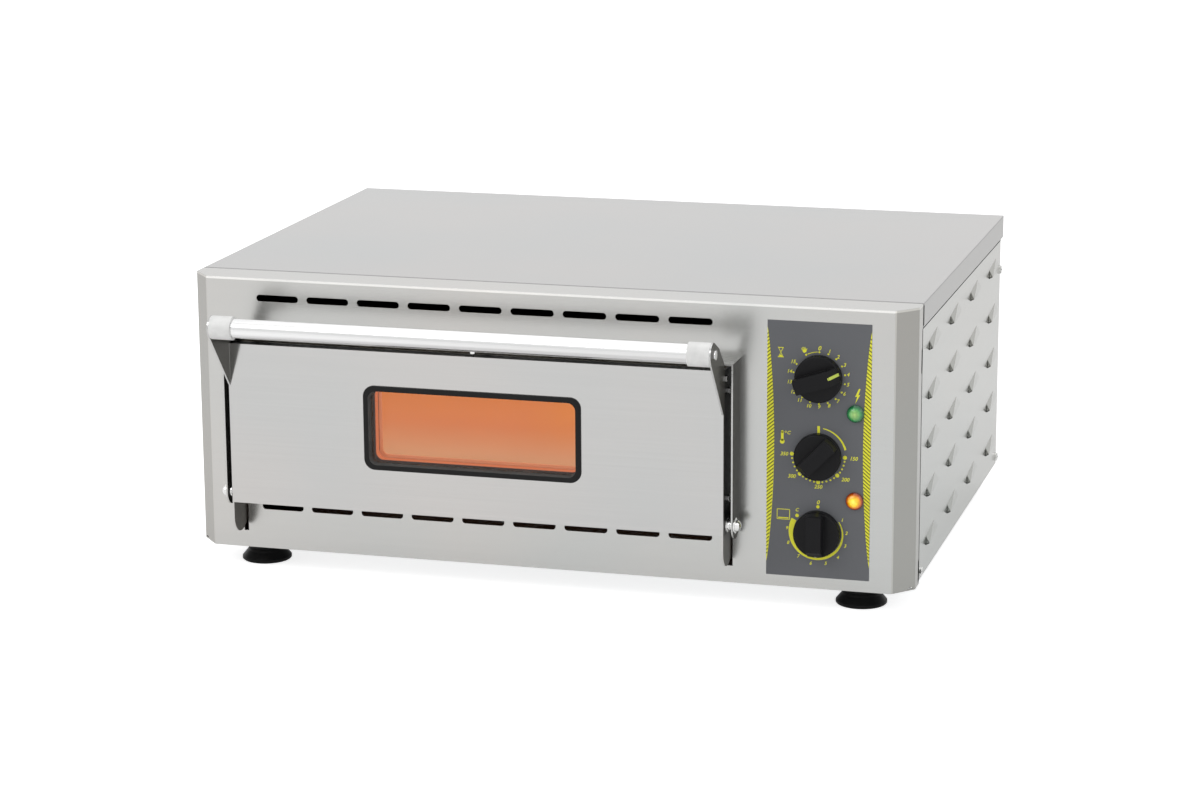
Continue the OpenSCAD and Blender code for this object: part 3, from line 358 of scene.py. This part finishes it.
def lens_material(name, node, glow, *stops):
    """Clear coloured plastic over fine prisms, darker towards its rim. stops are (radius in mm, colour)."""
    t = Tree(name)
    prisms = t.add("TexVoronoi", {"feature": "F1"}, Vector=t.scaled_place((420, 420, 420)),
                   Scale=1.0).outputs["Distance"]
    centre = mid(node)
    x = t.math("SUBTRACT", t.part(t.place(), "X"), centre.x)
    z = t.math("SUBTRACT", t.part(t.place(), "Z"), centre.z)
    away = t.math("SQRT", t.math("ADD", t.math("MULTIPLY", x, x), t.math("MULTIPLY", z, z)))
    rings = t.ramp(t.span(away, 0.0, 1.0, 0.0, LENS_SPAN * MM), *[(r / LENS_SPAN, c) for r, c in stops])
    facets = t.ramp(prisms, (0.1, (1.0, 1.0, 1.0)), (0.8, (0.72, 0.72, 0.72)))
    both = t.multiply(rings, facets)
    return t.set(Base_Color=both, Emission_Color=both, Emission_Strength=glow, Roughness=0.1, Coat_Weight=0.4,
                 Coat_Roughness=0.05, Specular_IOR_Level=0.5, Normal=t.bump(prisms, 0.3, 0.25))


def moulded(name, colour, rough=(0.38, 0.5), grain=2600.0, bump=0.06, spec=0.5):
    """Plastic, rubber or ceramic with a fine grain of a given scale and depth."""
    t = Tree(name)
    wide = t.noise(60.0, 3.0, 0.6)
    return t.set(Base_Color=t.ramp(wide, (0.3, scaled(colour, 0.9)), (0.7, scaled(colour, 1.1))),
                 Roughness=t.span(wide, *rough), Specular_IOR_Level=spec,
                 Normal=t.bump(t.noise(grain, 2.0, 0.5), bump, 0.03, t.soft_edges(0.4)))


def label_material():
    """Grey printed film with a fine grain."""
    t = Tree("label_film")
    wide = t.noise(9.0, 3.0, 0.5)
    return t.set(Base_Color=t.ramp(wide, (0.3, (0.142, 0.147, 0.158)), (0.7, (0.160, 0.165, 0.176))),
                 Roughness=t.span(wide, 0.42, 0.5), Specular_IOR_Level=0.25,
                 Normal=t.bump(t.noise(1500.0, 2.0, 0.5), 0.05, 0.02))


def ink(name, colour):
    """Matt paint or print, a little uneven."""
    t = Tree(name)
    fine = t.noise(900.0, 3.0, 0.6)
    return t.set(Base_Color=t.ramp(fine, (0.3, scaled(colour, 0.9)), (0.7, colour)),
                 Roughness=t.span(fine, 0.4, 0.55))


# ---- Every material, and what wears it ----

ALONG_X, ALONG_Y, NO_GRAIN = (6, 700, 700), (700, 6, 700), (60, 60, 60)
FACE_STEEL = (0.56, 0.56, 0.55)
# Painted highlights near the front panel's top bend and just behind its front face, painted shade at the
# legs' ends.
PANEL_HIGHLIGHTS_AND_SHADE = (([("Z", TOP - 1.0, 0.9)], 1.55), ([("Y", FRONT + 0.65, 0.6)], 1.4),
               ([("Y", LEG_END - 0.95, 1.0)], 0.55))
# Painted shade along the cover's joint with the front panel and along its top edge.
COVER_SHADE_LINES = (([("Y", COVER_LOW[1] + 1.25, 1.3)], 0.6), ([("Z", TOP - 0.8, 0.6)], 0.45))
# Painted shade on the door's sides where they lie in the gap behind the hood.
DOOR_GAP_SHADE = ("Y", FRONT - 12.75, 13.0), ("Z", 160.0, 88.0)      # the door's sides, between ears and tabs

MATERIALS = {
    # The grey after the roughness pair of front, hood, door and top is painted shade on the faces that turn
    # left or right.
    "front": brushed("steel_front", FACE_STEEL, ALONG_X, (0.22, 0.26), (0.66, 0.65, 0.63), 0.5,
                     marks=PANEL_HIGHLIGHTS_AND_SHADE),
    "hood": brushed("steel_hood", FACE_STEEL, ALONG_X, (0.26, 0.3), (0.12, 0.117, 0.11), side_metal=0.35),
    "door": brushed("steel_door", (0.56, 0.555, 0.55), ALONG_X, (0.12, 0.15), (0.16, 0.155, 0.14),
                    side_metal=0.35, marks=((DOOR_GAP_SHADE, 0.22),)),
    "top": brushed("steel_top", (0.48, 0.48, 0.48), ALONG_X, (0.2, 0.24), (0.61, 0.61, 0.60), wave=0.05,
                   marks=COVER_SHADE_LINES),
    # The side sheets' pressed grey is painted shade on the louvres' facets.
    "side": brushed("steel_side", (0.438, 0.445, 0.430), ALONG_Y, (0.2, 0.24), wave=0.06,
                    pressed_shade=(0.78, 0.78, 0.76)),
    "plated": brushed("plated_sheet", (0.40, 0.41, 0.42), NO_GRAIN, (0.35, 0.45)),
    "chamber": chamber_material(),
    "door_inside": inside_material(),
    "tunnel": tunnel_material(),
    "wool": wool_material(),
    "stone": stone_material(),
    "quartz": quartz_material(),
    "filament": glowing("filament", (1.0, 0.42, 0.12), 6.0),
    "element": glowing("element_rod", (0.55, 0.10, 0.03), 0.3),
    "ceramic": moulded("ceramic", (0.80, 0.77, 0.70), (0.25, 0.4), 1200.0),
    "label": label_material(),
    "yellow": ink("ink_yellow", (1.0, 0.97, 0.045)),
    "olive": ink("ink_olive", (0.11, 0.10, 0.006)),
    "lime": ink("ink_lime", (0.66, 0.78, 0.12)),
    "pale": ink("ink_pale", (0.80, 0.79, 0.66)),
    "case": moulded("control_case", (0.10, 0.10, 0.11)),
    "copper": polished("copper_tube", (0.75, 0.42, 0.26), (0.2, 0.35)),
    "knob": moulded("knob_plastic", (0.006, 0.006, 0.007), (0.34, 0.44), spec=0.18),
    "black": moulded("black_plastic", (0.018, 0.018, 0.02), (0.4, 0.55)),
    "green": lens_material("lens_green", "lamp_lens_green", 0.40, (0.0, (0.36, 0.56, 0.16)),
                           (3.6, (0.17, 0.46, 0.12)), (5.4, (0.04, 0.27, 0.08)), (7.0, (0.006, 0.09, 0.035))),
    "orange": lens_material("lens_orange", "lamp_lens_orange", 0.62, (0.0, (0.95, 0.92, 0.12)),
                            (3.2, (0.92, 0.64, 0.015)), (5.2, (0.76, 0.27, 0.004)),
                            (6.6, (0.36, 0.05, 0.002)), (7.6, (0.10, 0.012, 0.001))),
    "rubber": moulded("foot_rubber", (0.004, 0.004, 0.004), (0.36, 0.46), 800.0, 0.1, 0.15),
    "bright": polished("bright_hardware", (0.80, 0.80, 0.79)),
    "gasket": moulded("gasket_silicone", (0.006, 0.006, 0.006), (0.34, 0.44), 900.0, 0.08, 0.22),
    # Painted light: the gasket's walls, a lighter grey copy of the rim's rubber.
    "gasket_wall": moulded("gasket_wall", (0.095, 0.095, 0.093), (0.85, 0.95), 900.0, 0.08, 0.0),
    "seam": moulded("seam_shadow", (0.008, 0.008, 0.008), (0.8, 0.9), 900.0, 0.05, 0.0),
    "glass": glass_material("window_glass", (0.99, 0.98, 0.97), 1.28),
    "inner_glass": glass_material("coated_glass", (0.99, 0.98, 0.96), 1.14),
    "bar": bar_material(),
    "collar": moulded("collar_satin", (0.87, 0.87, 0.86), (0.34, 0.42), 1800.0, 0.03),
}

LOOKS = {
    "front": "front_panel",
    "hood": "door_hood",
    "door": "door_outer_pan",
    "top": "top_cover",
    "side": "side_panel_left side_panel_right",
    "plated": "rear_panel base_pan partition chamber_supports",
    "chamber": "chamber_liner stone_rails element_clips upper_reflector",
    "door_inside": "door_inner_pan",
    "tunnel": "window_tunnel",
    "wool": "chamber_insulation door_insulation",
    "stone": "refractory_stone",
    "quartz": "quartz_tubes",
    "filament": "tube_filaments",
    "element": "lower_element",
    "ceramic": "tube_holders terminal_block lamp_bodies",
    "label": "control_label",
    "case": "timer_body thermostat_body regulator_body",
    "copper": "thermostat_bulb",
    "black": "cord_inlet",
    "knob": "timer_knob thermostat_knob regulator_knob",
    "green": "lamp_lens_green",
    "orange": "lamp_lens_orange",
    "rubber": "foot_front_left foot_front_right foot_rear_left foot_rear_right",
    "bright": "foot_screws hinge_bolts hinge_washers door_catch housing_screws handle_screws door_screws "
              "timer_shaft thermostat_shaft regulator_shaft",
    "glass": "window_glass_outer",
    "inner_glass": "window_glass_inner",
    "bar": "handle_bar",
    "collar": "handle_collar_left handle_collar_right",
}


def dress():
    for look, names in LOOKS.items():
        for name in names.split():
            mesh = NODES[name].data
            mesh.materials.clear()
            mesh.materials.append(MATERIALS[look])


# ---- Mesh helpers ----

def place_in_scene(name, data):
    obj = bpy.data.objects.new(name, data)
    bpy.context.scene.collection.objects.link(obj)
    return obj


def finish_mesh(name, bm, looks, body, angle=35):
    """Turns a bmesh into a piece that rides on a body. looks names its materials, split by blanks."""
    mesh = bpy.data.meshes.new(name)
    bmesh.ops.recalc_face_normals(bm, faces=bm.faces)
    bm.to_mesh(mesh)
    bm.free()
    for face in mesh.polygons:
        face.use_smooth = True
    mesh.set_sharp_from_angle(angle=math.radians(angle))
    for look in looks.split():
        mesh.materials.append(MATERIALS[look])
    obj = place_in_scene(name, mesh)
    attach(obj, body)
    return obj


def bridge(bm, a, b):
    """Faces between two closed rings of vertices, in order round them."""
    n = len(a)
    return [bm.faces.new((a[i], a[(i + 1) % n], b[(i + 1) % n], b[i])) for i in range(n)]


# ---- Flat shapes, from points across and up the label in metres ----

PRINT = 0.08 * MM      # the ink's thickness


def print_shape(bm, outline, y=LABEL_Y):
    """A flat printed shape that stands out of the label, or of the surface at y."""
    face = bm.faces.new([bm.verts.new((x, y - PRINT, z)) for x, z in outline])
    side = bmesh.ops.extrude_face_region(bm, geom=[face])
    moved = [v for v in side["geom"] if isinstance(v, bmesh.types.BMVert)]
    bmesh.ops.translate(bm, verts=moved, vec=(0, PRINT, 0))


def clock(cx, cz, r, degrees):
    """The point at a clock angle, clockwise from the top."""
    a = math.radians(degrees)
    return cx + r * math.sin(a), cz + r * math.cos(a)


def circle(cx, cz, r, n):
    turns = [2 * math.pi * i / n for i in range(n)]
    return [(cx + r * math.sin(a), cz + r * math.cos(a)) for a in turns]


def arc_band(cx, cz, start, end, inner, outer, n=40):
    """A band along an arc. inner and outer are radii, or functions of the share from 0 to 1."""
    def radius(r, s):
        return r(s) if callable(r) else r
    shares = [i / n for i in range(n + 1)]
    there = [clock(cx, cz, radius(outer, s), start + (end - start) * s) for s in shares]
    back = [clock(cx, cz, radius(inner, s), start + (end - start) * s) for s in reversed(shares)]
    return there + back


def line_shape(a, b, w):
    """A straight stroke from a to b."""
    (ax, az), (bx, bz) = a, b
    d = math.hypot(bx - ax, bz - az)
    nx, nz = -(bz - az) / d * w / 2, (bx - ax) / d * w / 2
    return [(ax + nx, az + nz), (bx + nx, bz + nz), (bx - nx, bz - nz), (ax - nx, az - nz)]


def words_into(bm, text, cx, cz, size):
    """Adds generic lettering, such as a dial's numbers, centred on a place of the label."""
    curve = bpy.data.curves.new("letters", "FONT")
    curve.body = text
    curve.size = size
    curve.shear = 0.25
    curve.extrude = PRINT / 2
    curve.offset = size * 0.016
    curve.resolution_u = 3
    curve.align_x = "CENTER"
    curve.align_y = "CENTER"
    obj = place_in_scene("letters", curve)
    mesh = obj.evaluated_get(bpy.context.evaluated_depsgraph_get()).to_mesh()
    mesh.transform(Matrix.Translation((cx, LABEL_Y - PRINT / 2, cz)) @ Matrix.Rotation(math.pi / 2, 4, "X"))
    bm.from_mesh(mesh)
    obj.to_mesh_clear()
    bpy.data.objects.remove(obj)
    bpy.data.curves.remove(curve)


# ---- The dials' scales. Radii and sizes are in mm, angles as on a clock in degrees ----

def dot(bm, cx, cz, r, degrees, size, sides):
    print_shape(bm, circle(*clock(cx, cz, r * MM, degrees), size * MM, sides))


def number(bm, cx, cz, text, r, degrees, size):
    words_into(bm, text, *clock(cx, cz, r * MM, degrees), size * MM)


def timer_scale(bm, cx, cz):
    """0 to 15 minutes, and a hand where the oven stays on."""
    for i in range(16):
        dot(bm, cx, cz, 23.1, 20 * i, 0.85, 12)
        r = 26.4 if i == 0 else 25.7 if i < 10 else 26.9
        number(bm, cx, cz, str(i), r, 20 * i, 5.4 if i == 0 else 4.5)
    dot(bm, cx, cz, 23.3, 330, 0.95, 12)
    print_shape(bm, arc_band(cx, cz, 333, 356, 22.9 * MM, 23.5 * MM, 12))
    hand(bm, *clock(cx, cz, 27.8 * MM, 331))


def hand(bm, cx, cz):
    """A small open hand, leaning, with four fingers and a thumb."""
    lean, scale = math.radians(24), 1.35 * MM

    def put(x, z):
        return (cx + scale * (x * math.cos(lean) - z * math.sin(lean)),
                cz + scale * (x * math.sin(lean) + z * math.cos(lean)))

    palm = ((-0.9, -1.7), (0.9, -1.7), (1.3, -0.6), (1.2, 0.2), (-1.2, 0.2), (-1.2, -0.9))
    print_shape(bm, [put(*c) for c in palm])
    for x, tip in ((-1.0, 1.7), (-0.33, 2.1), (0.36, 2.0), (1.02, 1.5)):
        print_shape(bm, line_shape(put(x, 0.2), put(x * 1.25, tip), 0.40 * scale))
    print_shape(bm, line_shape(put(1.2, -0.9), put(2.1, 0.3), 0.42 * scale))


def thermostat_scale(bm, cx, cz):
    """A mark for off, an arc towards the heat, and 150 to 350 degrees with four dots between the marks."""
    print_shape(bm, line_shape((cx, cz + 20.8 * MM), (cx, cz + 26.9 * MM), 2.3 * MM))
    print_shape(bm, arc_band(cx, cz, 9, 74, lambda s: (24.9 - 0.9 * s) * MM, lambda s: (25.6 + 0.2 * s) * MM))
    ring = 23.6
    marks = ((90, "150", 91, 31.2), (134, "200", 129.5, 31.2), (180, "250", 180, 27.8),
             (224, "300", 230.4, 30.8), (271.5, "350", 270.2, 30.7))
    for (start, *_), (end, *_) in zip(marks, marks[1:]):
        for k in range(1, 5):
            dot(bm, cx, cz, ring, start + (end - start) * k / 5, 0.85, 12)
    for degrees, text, text_at, text_r in marks:
        dot(bm, cx, cz, ring, degrees, 1.8, 18)
        number(bm, cx, cz, text, text_r, text_at, 4.7)


def regulator_scale(bm, cx, cz):
    """0, C, and 1 to 9 round a crescent that widens towards more heat."""
    dot(bm, cx, cz, 23.9, 0, 1.5, 16)
    number(bm, cx, cz, "0", 27.8, 0, 5.2)
    dot(bm, cx, cz, 23.7, 308.6, 1.6, 16)
    number(bm, cx, cz, "C", 27.3, 316.6, 4.2)
    print_shape(bm, arc_band(cx, cz, 59, 298, 21.6 * MM, lambda s: (22.2 + 4.2 * s ** 0.85) * MM, 90))
    places = ((58.6, 25.3), (86.5, 25.6), (112.4, 26.5), (139.2, 27.6), (165, 28.1), (192.5, 28.6),
              (218, 28.3), (248.7, 28.5), (275.8, 27.9))
    for i, (degrees, r) in enumerate(places):
        number(bm, cx, cz, str(i + 1), r, degrees, 4.2)


# ---- Pictures on the label, each round its own middle, in mm ----

def stroke_at(bm, cx, cz, a, b, w):
    (ax, az), (bx, bz) = a, b
    print_shape(bm, line_shape((cx + ax * MM, cz + az * MM), (cx + bx * MM, cz + bz * MM), w * MM))


def shape_at(bm, cx, cz, outline):
    print_shape(bm, [(cx + x * MM, cz + z * MM) for x, z in outline])


def hourglass(bm, cx, cz):
    for s in (-1, 1):
        stroke_at(bm, cx, cz, (-2.6, s * 4.2), (2.6, s * 4.2), 0.6)
        stroke_at(bm, cx, cz, (-2.0, s * 4.0), (0, 0), 0.45)
        stroke_at(bm, cx, cz, (2.0, s * 4.0), (0, 0), 0.45)
    shape_at(bm, cx, cz, ((-1.9, -4.0), (1.9, -4.0), (0, -1.8)))


def thermometer(bm, cx, cz):
    stroke_at(bm, cx, cz, (0, -3.2), (0, 5.0), 2.3)
    print_shape(bm, circle(cx, cz + 5.0 * MM, 1.15 * MM, 14))
    print_shape(bm, circle(cx, cz - 3.8 * MM, 2.1 * MM, 18))
    print_shape(bm, arc_band(cx + 3.0 * MM, cz + 5.0 * MM, 0, 359, 0.5 * MM, 0.9 * MM, 14))
    words_into(bm, "C", cx + 5.6 * MM, cz + 4.2 * MM, 4.3 * MM)


def oven_sign(bm, cx, cz):
    """An oven's outline with a line for its lower heat."""
    corners = ((-5.6, -4.5), (5.6, -4.5), (5.6, 4.5), (-5.6, 4.5))
    for a, b in zip(corners, corners[1:] + corners[:1]):
        stroke_at(bm, cx, cz, a, b, 0.55)
    stroke_at(bm, cx, cz, (-4.6, -3.2), (4.6, -3.2), 0.9)


def flash(bm, cx, cz):
    shape_at(bm, cx, cz, ((1.1, 6.7), (-2.2, -0.6), (-0.4, -0.3), (-2.0, -6.7), (2.2, 1.4), (0.5, 0.9),
                          (2.5, 6.7)))


PICTURES = ((hourglass, 12.0, 201.3), (thermometer, 13.8, 125.4), (oven_sign, 15.3, 55.8),
            (flash, 80.2, 165.8))      # each with its place from the label's lower left corner


def edge_band(fill, strokes, side):
    """A lens-shaped band along one long edge of the label, with thin darker strokes slanting across it."""
    edge = LABEL_LOW.x if side < 0 else LABEL_HIGH.x
    z0, z1 = LABEL_LOW.z + 12 * MM, LABEL_HIGH.z - 6 * MM

    def width(z):
        share = min(1, max(0, (z - z0) / (z1 - z0)))
        return 6.6 * MM * math.sin(math.pi * share) ** 0.75

    rows = [z0 + (z1 - z0) * i / 60 for i in range(61)]
    for low, high in zip(rows, rows[1:]):
        a, b = width(low), width(high)
        outline = [(edge, low), (edge - side * a, low), (edge - side * b, high), (edge, high)]
        print_shape(fill, [c for i, c in enumerate(outline) if c not in outline[:i]])
    pitch, stroke, rise, least = 3.3 * MM, 1.05 * MM, 0.85, 0.8 * MM
    for i in range(int((z1 - z0) / pitch)):
        z = z0 + i * pitch
        w = width(z)
        if w > least:
            left, right = (edge - w, edge) if side > 0 else (edge, edge + w)
            end = z - side * rise * w
            outline = [(left, z), (right, end), (right, end + stroke), (left, z + stroke)]
            print_shape(strokes, outline, LABEL_Y - PRINT)


def label_print():
    bm = bmesh.new()
    for scale, z in zip((timer_scale, thermostat_scale, regulator_scale), KNOB_Z):
        scale(bm, COLUMN_X, z)
    for picture, x, z in PICTURES:
        picture(bm, LABEL_LOW.x + x * MM, LABEL_LOW.z + z * MM)
    strokes = bmesh.new()
    for side in (-1, 1):
        edge_band(bm, strokes, side)
    finish_mesh("label_print", bm, "yellow", "housing")
    finish_mesh("label_strokes", strokes, "olive", "housing")


# ---- The window's gasket ----

def rounded(w, h, r, n=8):
    """The outline of a rounded rectangle round the window's middle, in metres from sizes in mm."""
    centre = mid("window_gasket")
    points = []
    for k, (sx, sz) in enumerate(((1, 1), (-1, 1), (-1, -1), (1, -1))):
        for i in range(n + 1):
            a = math.radians(90 * (k + i / n))
            points.append((centre.x + (sx * (w / 2 - r) + r * math.cos(a)) * MM,
                           centre.z + (sz * (h / 2 - r) + r * math.sin(a)) * MM))
    return points


def gasket():
    """A rubber frame with a narrow rounded rim and deep walls that hold the outer pane's edge. The walls are
    a lighter grey than the rim: painted light.
    """
    (left, front, bottom), (right, back, top) = box_mm("window_gasket")
    width, height = right - left, top - bottom
    (_, pane_front, _), (_, pane_back, _) = box_mm("window_glass_outer")
    face = front + 2      # the door's face
    # each ring of the section: how far in from the edge, its place in depth and its corners' radius
    rim = ((0.0, face, 10.0), (0.0, front + 0.9, 10.0), (0.35, front + 0.25, 9.7), (1.1, front, 9.0),
           (4.2, front, 7.6))
    wall = ((4.7, front + 0.2, 7.4), (4.95, front + 0.8, 7.2), (5.6, pane_front - 0.1, 7.0),
            (5.75, pane_back + 0.1, 7.0), (5.75, back, 7.0), (4.15, back, 8.7), (4.15, face, 8.7))
    bm = bmesh.new()
    rings = [[bm.verts.new((x, y * MM, z)) for x, z in rounded(width - 2 * inset, height - 2 * inset, r)]
             for inset, y, r in rim + wall]
    # The walls seen round the window get the lighter grey of painted light.
    seen_walls = range(len(rim), len(rim) + 4)
    for k, (a, b) in enumerate(zip(rings, rings[1:] + rings[:1])):
        for quad in bridge(bm, a, b):
            quad.material_index = 1 if k in seen_walls else 0
    seal = finish_mesh("window_seal", bm, "gasket gasket_wall", "door", 40)
    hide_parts("window_gasket")


# ---- Painted shade in the joints, and backs of the side sheets, in mm, for side -1 or 1 ----

SIDE_SHEET = PANEL_HIGH[0] - 1.8      # the side sheets' outer faces, from the middle
LOUVRE_Y, LOUVRE_STEP_Y, LOUVRE_COLUMNS = FRONT + 79.8, 109.5, 4
LOUVRE_Z, LOUVRE_STEP_Z, LOUVRE_ROWS = BASE + 27.7, 44.7, 5


def prism(bm, outline, axis, lo, hi):
    """A flat outline drawn out along an axis from lo to hi. Its points keep the other two axes' order."""
    def vertex(point, along_it):
        place = list(point)
        place.insert(axis, along_it)
        return bm.verts.new([v * MM for v in place])
    low, high = ([vertex(c, v) for c in outline] for v in (lo, hi))
    bridge(bm, low, high)
    bm.faces.new(low)
    bm.faces.new(high)


def strip(bm, y0, y1, z0, z1, x0, x1):
    """A thin strip with cut corners."""
    t = min(y1 - y0, z1 - z0) * 0.4
    outline = ((y0 + t, z0), (y1 - t, z0), (y1, z0 + t), (y1, z1 - t), (y1 - t, z1), (y0 + t, z1),
               (y0, z1 - t), (y0, z0 + t))
    prism(bm, outline, 0, x0, x1)


def side_joints(side, name):
    """Dark strips that paint the shade in the joints under the cover, at its front edge and beside the front
    panel's leg.
    """
    leg_face, under = PANEL_HIGH[0], COVER_LOW[2]
    bm = bmesh.new()

    def joint(y0, y1, z0, z1, start, depth):
        strip(bm, y0, y1, z0, z1, side * start, side * (start + depth))

    joint(LEG_END + 2.5, COVER_HIGH[1] - 6, under - 2.9, under + 1, SIDE_SHEET - 0.05, 0.3)
    joint(LEG_END + 0.62, LEG_END + 4.8, under + 0.8, TOP - 1.2, leg_face - 0.02, 0.07)
    joint(LEG_END - 2.4, LEG_END - 0.02, BASE + 3, under - 0.5, leg_face - 0.02, 0.05)
    for low, high in ((1.5, 23.0), (191.0, 214.0)):
        joint(LEG_END - 4.4, LEG_END - 0.02, BASE + low, BASE + high, leg_face - 0.02, 0.08)
    finish_mesh("side_joints_" + name, bm, "seam", "housing")


def louvre_backs(side, name):
    """The sheet behind each louvre, and the small core seen deep in its mouth."""
    kite = ((0.9, -3.6), (34.8, -5.6), (58.0, -2.5), (38.6, 7.9), (0.9, 3.6))
    mouth = ((0.1, -3.5), (0.1, 2.8), (2.1, -2.4))
    bm = bmesh.new()
    for column in range(LOUVRE_COLUMNS):
        for row in range(LOUVRE_ROWS):
            y, z = LOUVRE_Y + column * LOUVRE_STEP_Y, LOUVRE_Z + row * LOUVRE_STEP_Z
            back = [(y + a, z + b) for a, b in kite]
            prism(bm, back, 0, side * (SIDE_SHEET - 1.1), side * (SIDE_SHEET - 0.5))
            prism(bm, [(side * (SIDE_SHEET + a), z + b) for a, b in mouth], 1, y + 1.9, y + 6)
    finish_mesh("louvre_backs_" + name, bm, "side", "housing")


def corner_lip(side, name):
    """The closed lower corner of the front panel."""
    corner = ((329.8, 14.0), (333.45, 18.2), (333.45, 19.8), (332.0, 18.6), (328.6, 14.7))
    bm = bmesh.new()
    prism(bm, [(side * x, FRONT + y) for x, y in corner], 2, BASE + 0.02, BASE + 1.5)
    finish_mesh("corner_lip_" + name, bm, "front", "housing")


# ---- Pointers on the knobs ----

TURNS = (72, 224, 180)       # clock angles of the knobs' pointers
POINTER_WIDTH = 2.7 * MM
LONG_POINTER = ((12.1, 19.0), (12.8, 18.98), (13.5, 18.2), (16.5, 13.3), (19.2, 8.9), (19.75, 8.05),
                (20.3, 5.7))
SHORT_POINTER = LONG_POINTER[4:]      # both are points out from the knob's middle and up from its back, in mm


def knob_point(index, across, out, height):
    """A point on a knob: across its pointer, out along it, and height off the knob's back."""
    a = math.radians(TURNS[index])
    return Vector((COLUMN_X + across * math.cos(a) + out * math.sin(a), KNOB_BACK - height,
                   KNOB_Z[index] - across * math.sin(a) + out * math.cos(a)))


def pointer(name, index, path, look, body):
    """A painted strip with rounded ends, laid along a path over the knob."""
    section = ((-1, -0.2), (-1, 0.12), (-0.7, 0.22), (0.7, 0.22), (1, 0.12), (1, -0.2))
    bm = bmesh.new()
    rows = []
    for i, (out, height) in enumerate(path):
        half = POINTER_WIDTH / 2 * (0.62 if i in (0, len(path) - 1) else 1.0)
        rows.append([bm.verts.new(knob_point(index, u * half, out * MM, height * MM + lift * MM))
                     for u, lift in section])
    for a, b in zip(rows, rows[1:]):
        bridge(bm, a, b)
    bm.faces.new(rows[0])
    bm.faces.new(rows[-1])
    finish_mesh(name, bm, look, body)


# ---- Stage, light and camera ----

def background_rays(t):
    """The rays that look at the background, straight or through glass, and those that mirror it."""
    path = t.add("LightPath").outputs
    return t.math("MAXIMUM", path["Is Camera Ray"], path["Is Transmission Ray"]), path["Is Glossy Ray"]


WHITE_SEEN, WHITE_MIRRORED = 0.74, 0.36      # the white that the floor adds


def make_floor():
    """A pale floor that adds some white of its own for the camera and glass, and less in mirrors."""
    t = Tree("floor_pale")
    t.set(Roughness=0.9, Base_Color=(0.80, 0.80, 0.80), Specular_IOR_Level=0.1)
    seen, mirrored = background_rays(t)
    straight, mirrored = t.math("MULTIPLY", seen, WHITE_SEEN), t.math("MULTIPLY", mirrored, WHITE_MIRRORED)
    power = t.math("MAXIMUM", straight, mirrored)
    both = t.add("AddShader")
    t.plug(t.main.outputs[0], both.inputs[0])
    t.plug(t.add("Emission", Strength=power).outputs[0], both.inputs[1])
    bm = bmesh.new()
    bmesh.ops.create_circle(bm, cap_ends=True, radius=30.0, segments=64)
    mesh = bpy.data.meshes.new("floor")
    bm.to_mesh(mesh)
    bm.free()
    mesh.materials.append(t.show(both))
    place_in_scene("floor", mesh)


def make_world():
    """White for the camera, glass and mirrors, and a softer light on everything."""
    t = Tree("studio", "worlds", "Background")
    white = t.math("MAXIMUM", *background_rays(t))
    bpy.context.scene.world = t.set(Color=(1, 1, 1), Strength=t.span(white, 0.62, 1.0, 0.0, 1.0))


LAMPS_AIM = Vector((0, 0, 0.15))


def make_lamp(name, place, size, power):
    data = bpy.data.lights.new(name, "AREA")
    data.shape = "RECTANGLE"
    data.size, data.size_y = size
    data.energy = power
    obj = place_in_scene(name, data)
    obj.location = place
    obj.rotation_euler = (LAMPS_AIM - Vector(place)).to_track_quat("-Z", "Y").to_euler()


def make_camera():
    """The camera fitted to the photograph, from its angles in degrees and its distance in metres."""
    turn, lift, roll = (math.radians(a) for a in (15.882, 13.466, -0.342))
    distance, target = 3.1199, Vector((-0.0055, 0, 0.1293))
    back = Vector((math.sin(turn) * math.cos(lift), -math.cos(turn) * math.cos(lift), math.sin(lift)))
    right = (-back).cross(Vector((0, 0, 1))).normalized()
    up = right.cross(-back)
    rolled = math.cos(roll) * right + math.sin(roll) * up
    tilted = math.cos(roll) * up - math.sin(roll) * right
    data = bpy.data.cameras.new("camera")
    data.sensor_width = 36
    data.lens = 98.2
    obj = place_in_scene("camera", data)
    turned = Matrix((rolled, tilted, back)).transposed().to_4x4()
    obj.matrix_world = Matrix.Translation(target + distance * back) @ turned
    bpy.context.scene.camera = obj


dress()
label_print()
gasket()
for side, name in ((-1, "left"), (1, "right")):
    side_joints(side, name)
    louvre_backs(side, name)
    corner_lip(side, name)
pointer("timer_pointer", 0, LONG_POINTER, "lime", "timer_control")
pointer("thermostat_pointer", 1, SHORT_POINTER, "pale", "thermostat_control")
pointer("regulator_pointer", 2, SHORT_POINTER, "pale", "regulator_control")
make_floor()
make_world()
make_lamp("key", (-1.6, -2.4, 2.4), (2.4, 1.6), 24)
make_lamp("fill", (2.6, -1.2, 1.6), (1.6, 1.6), 7)
make_lamp("top", (0, 0.4, 2.6), (2.4, 2.4), 10)
make_camera()
bpy.context.scene.view_settings.view_transform = "Standard"
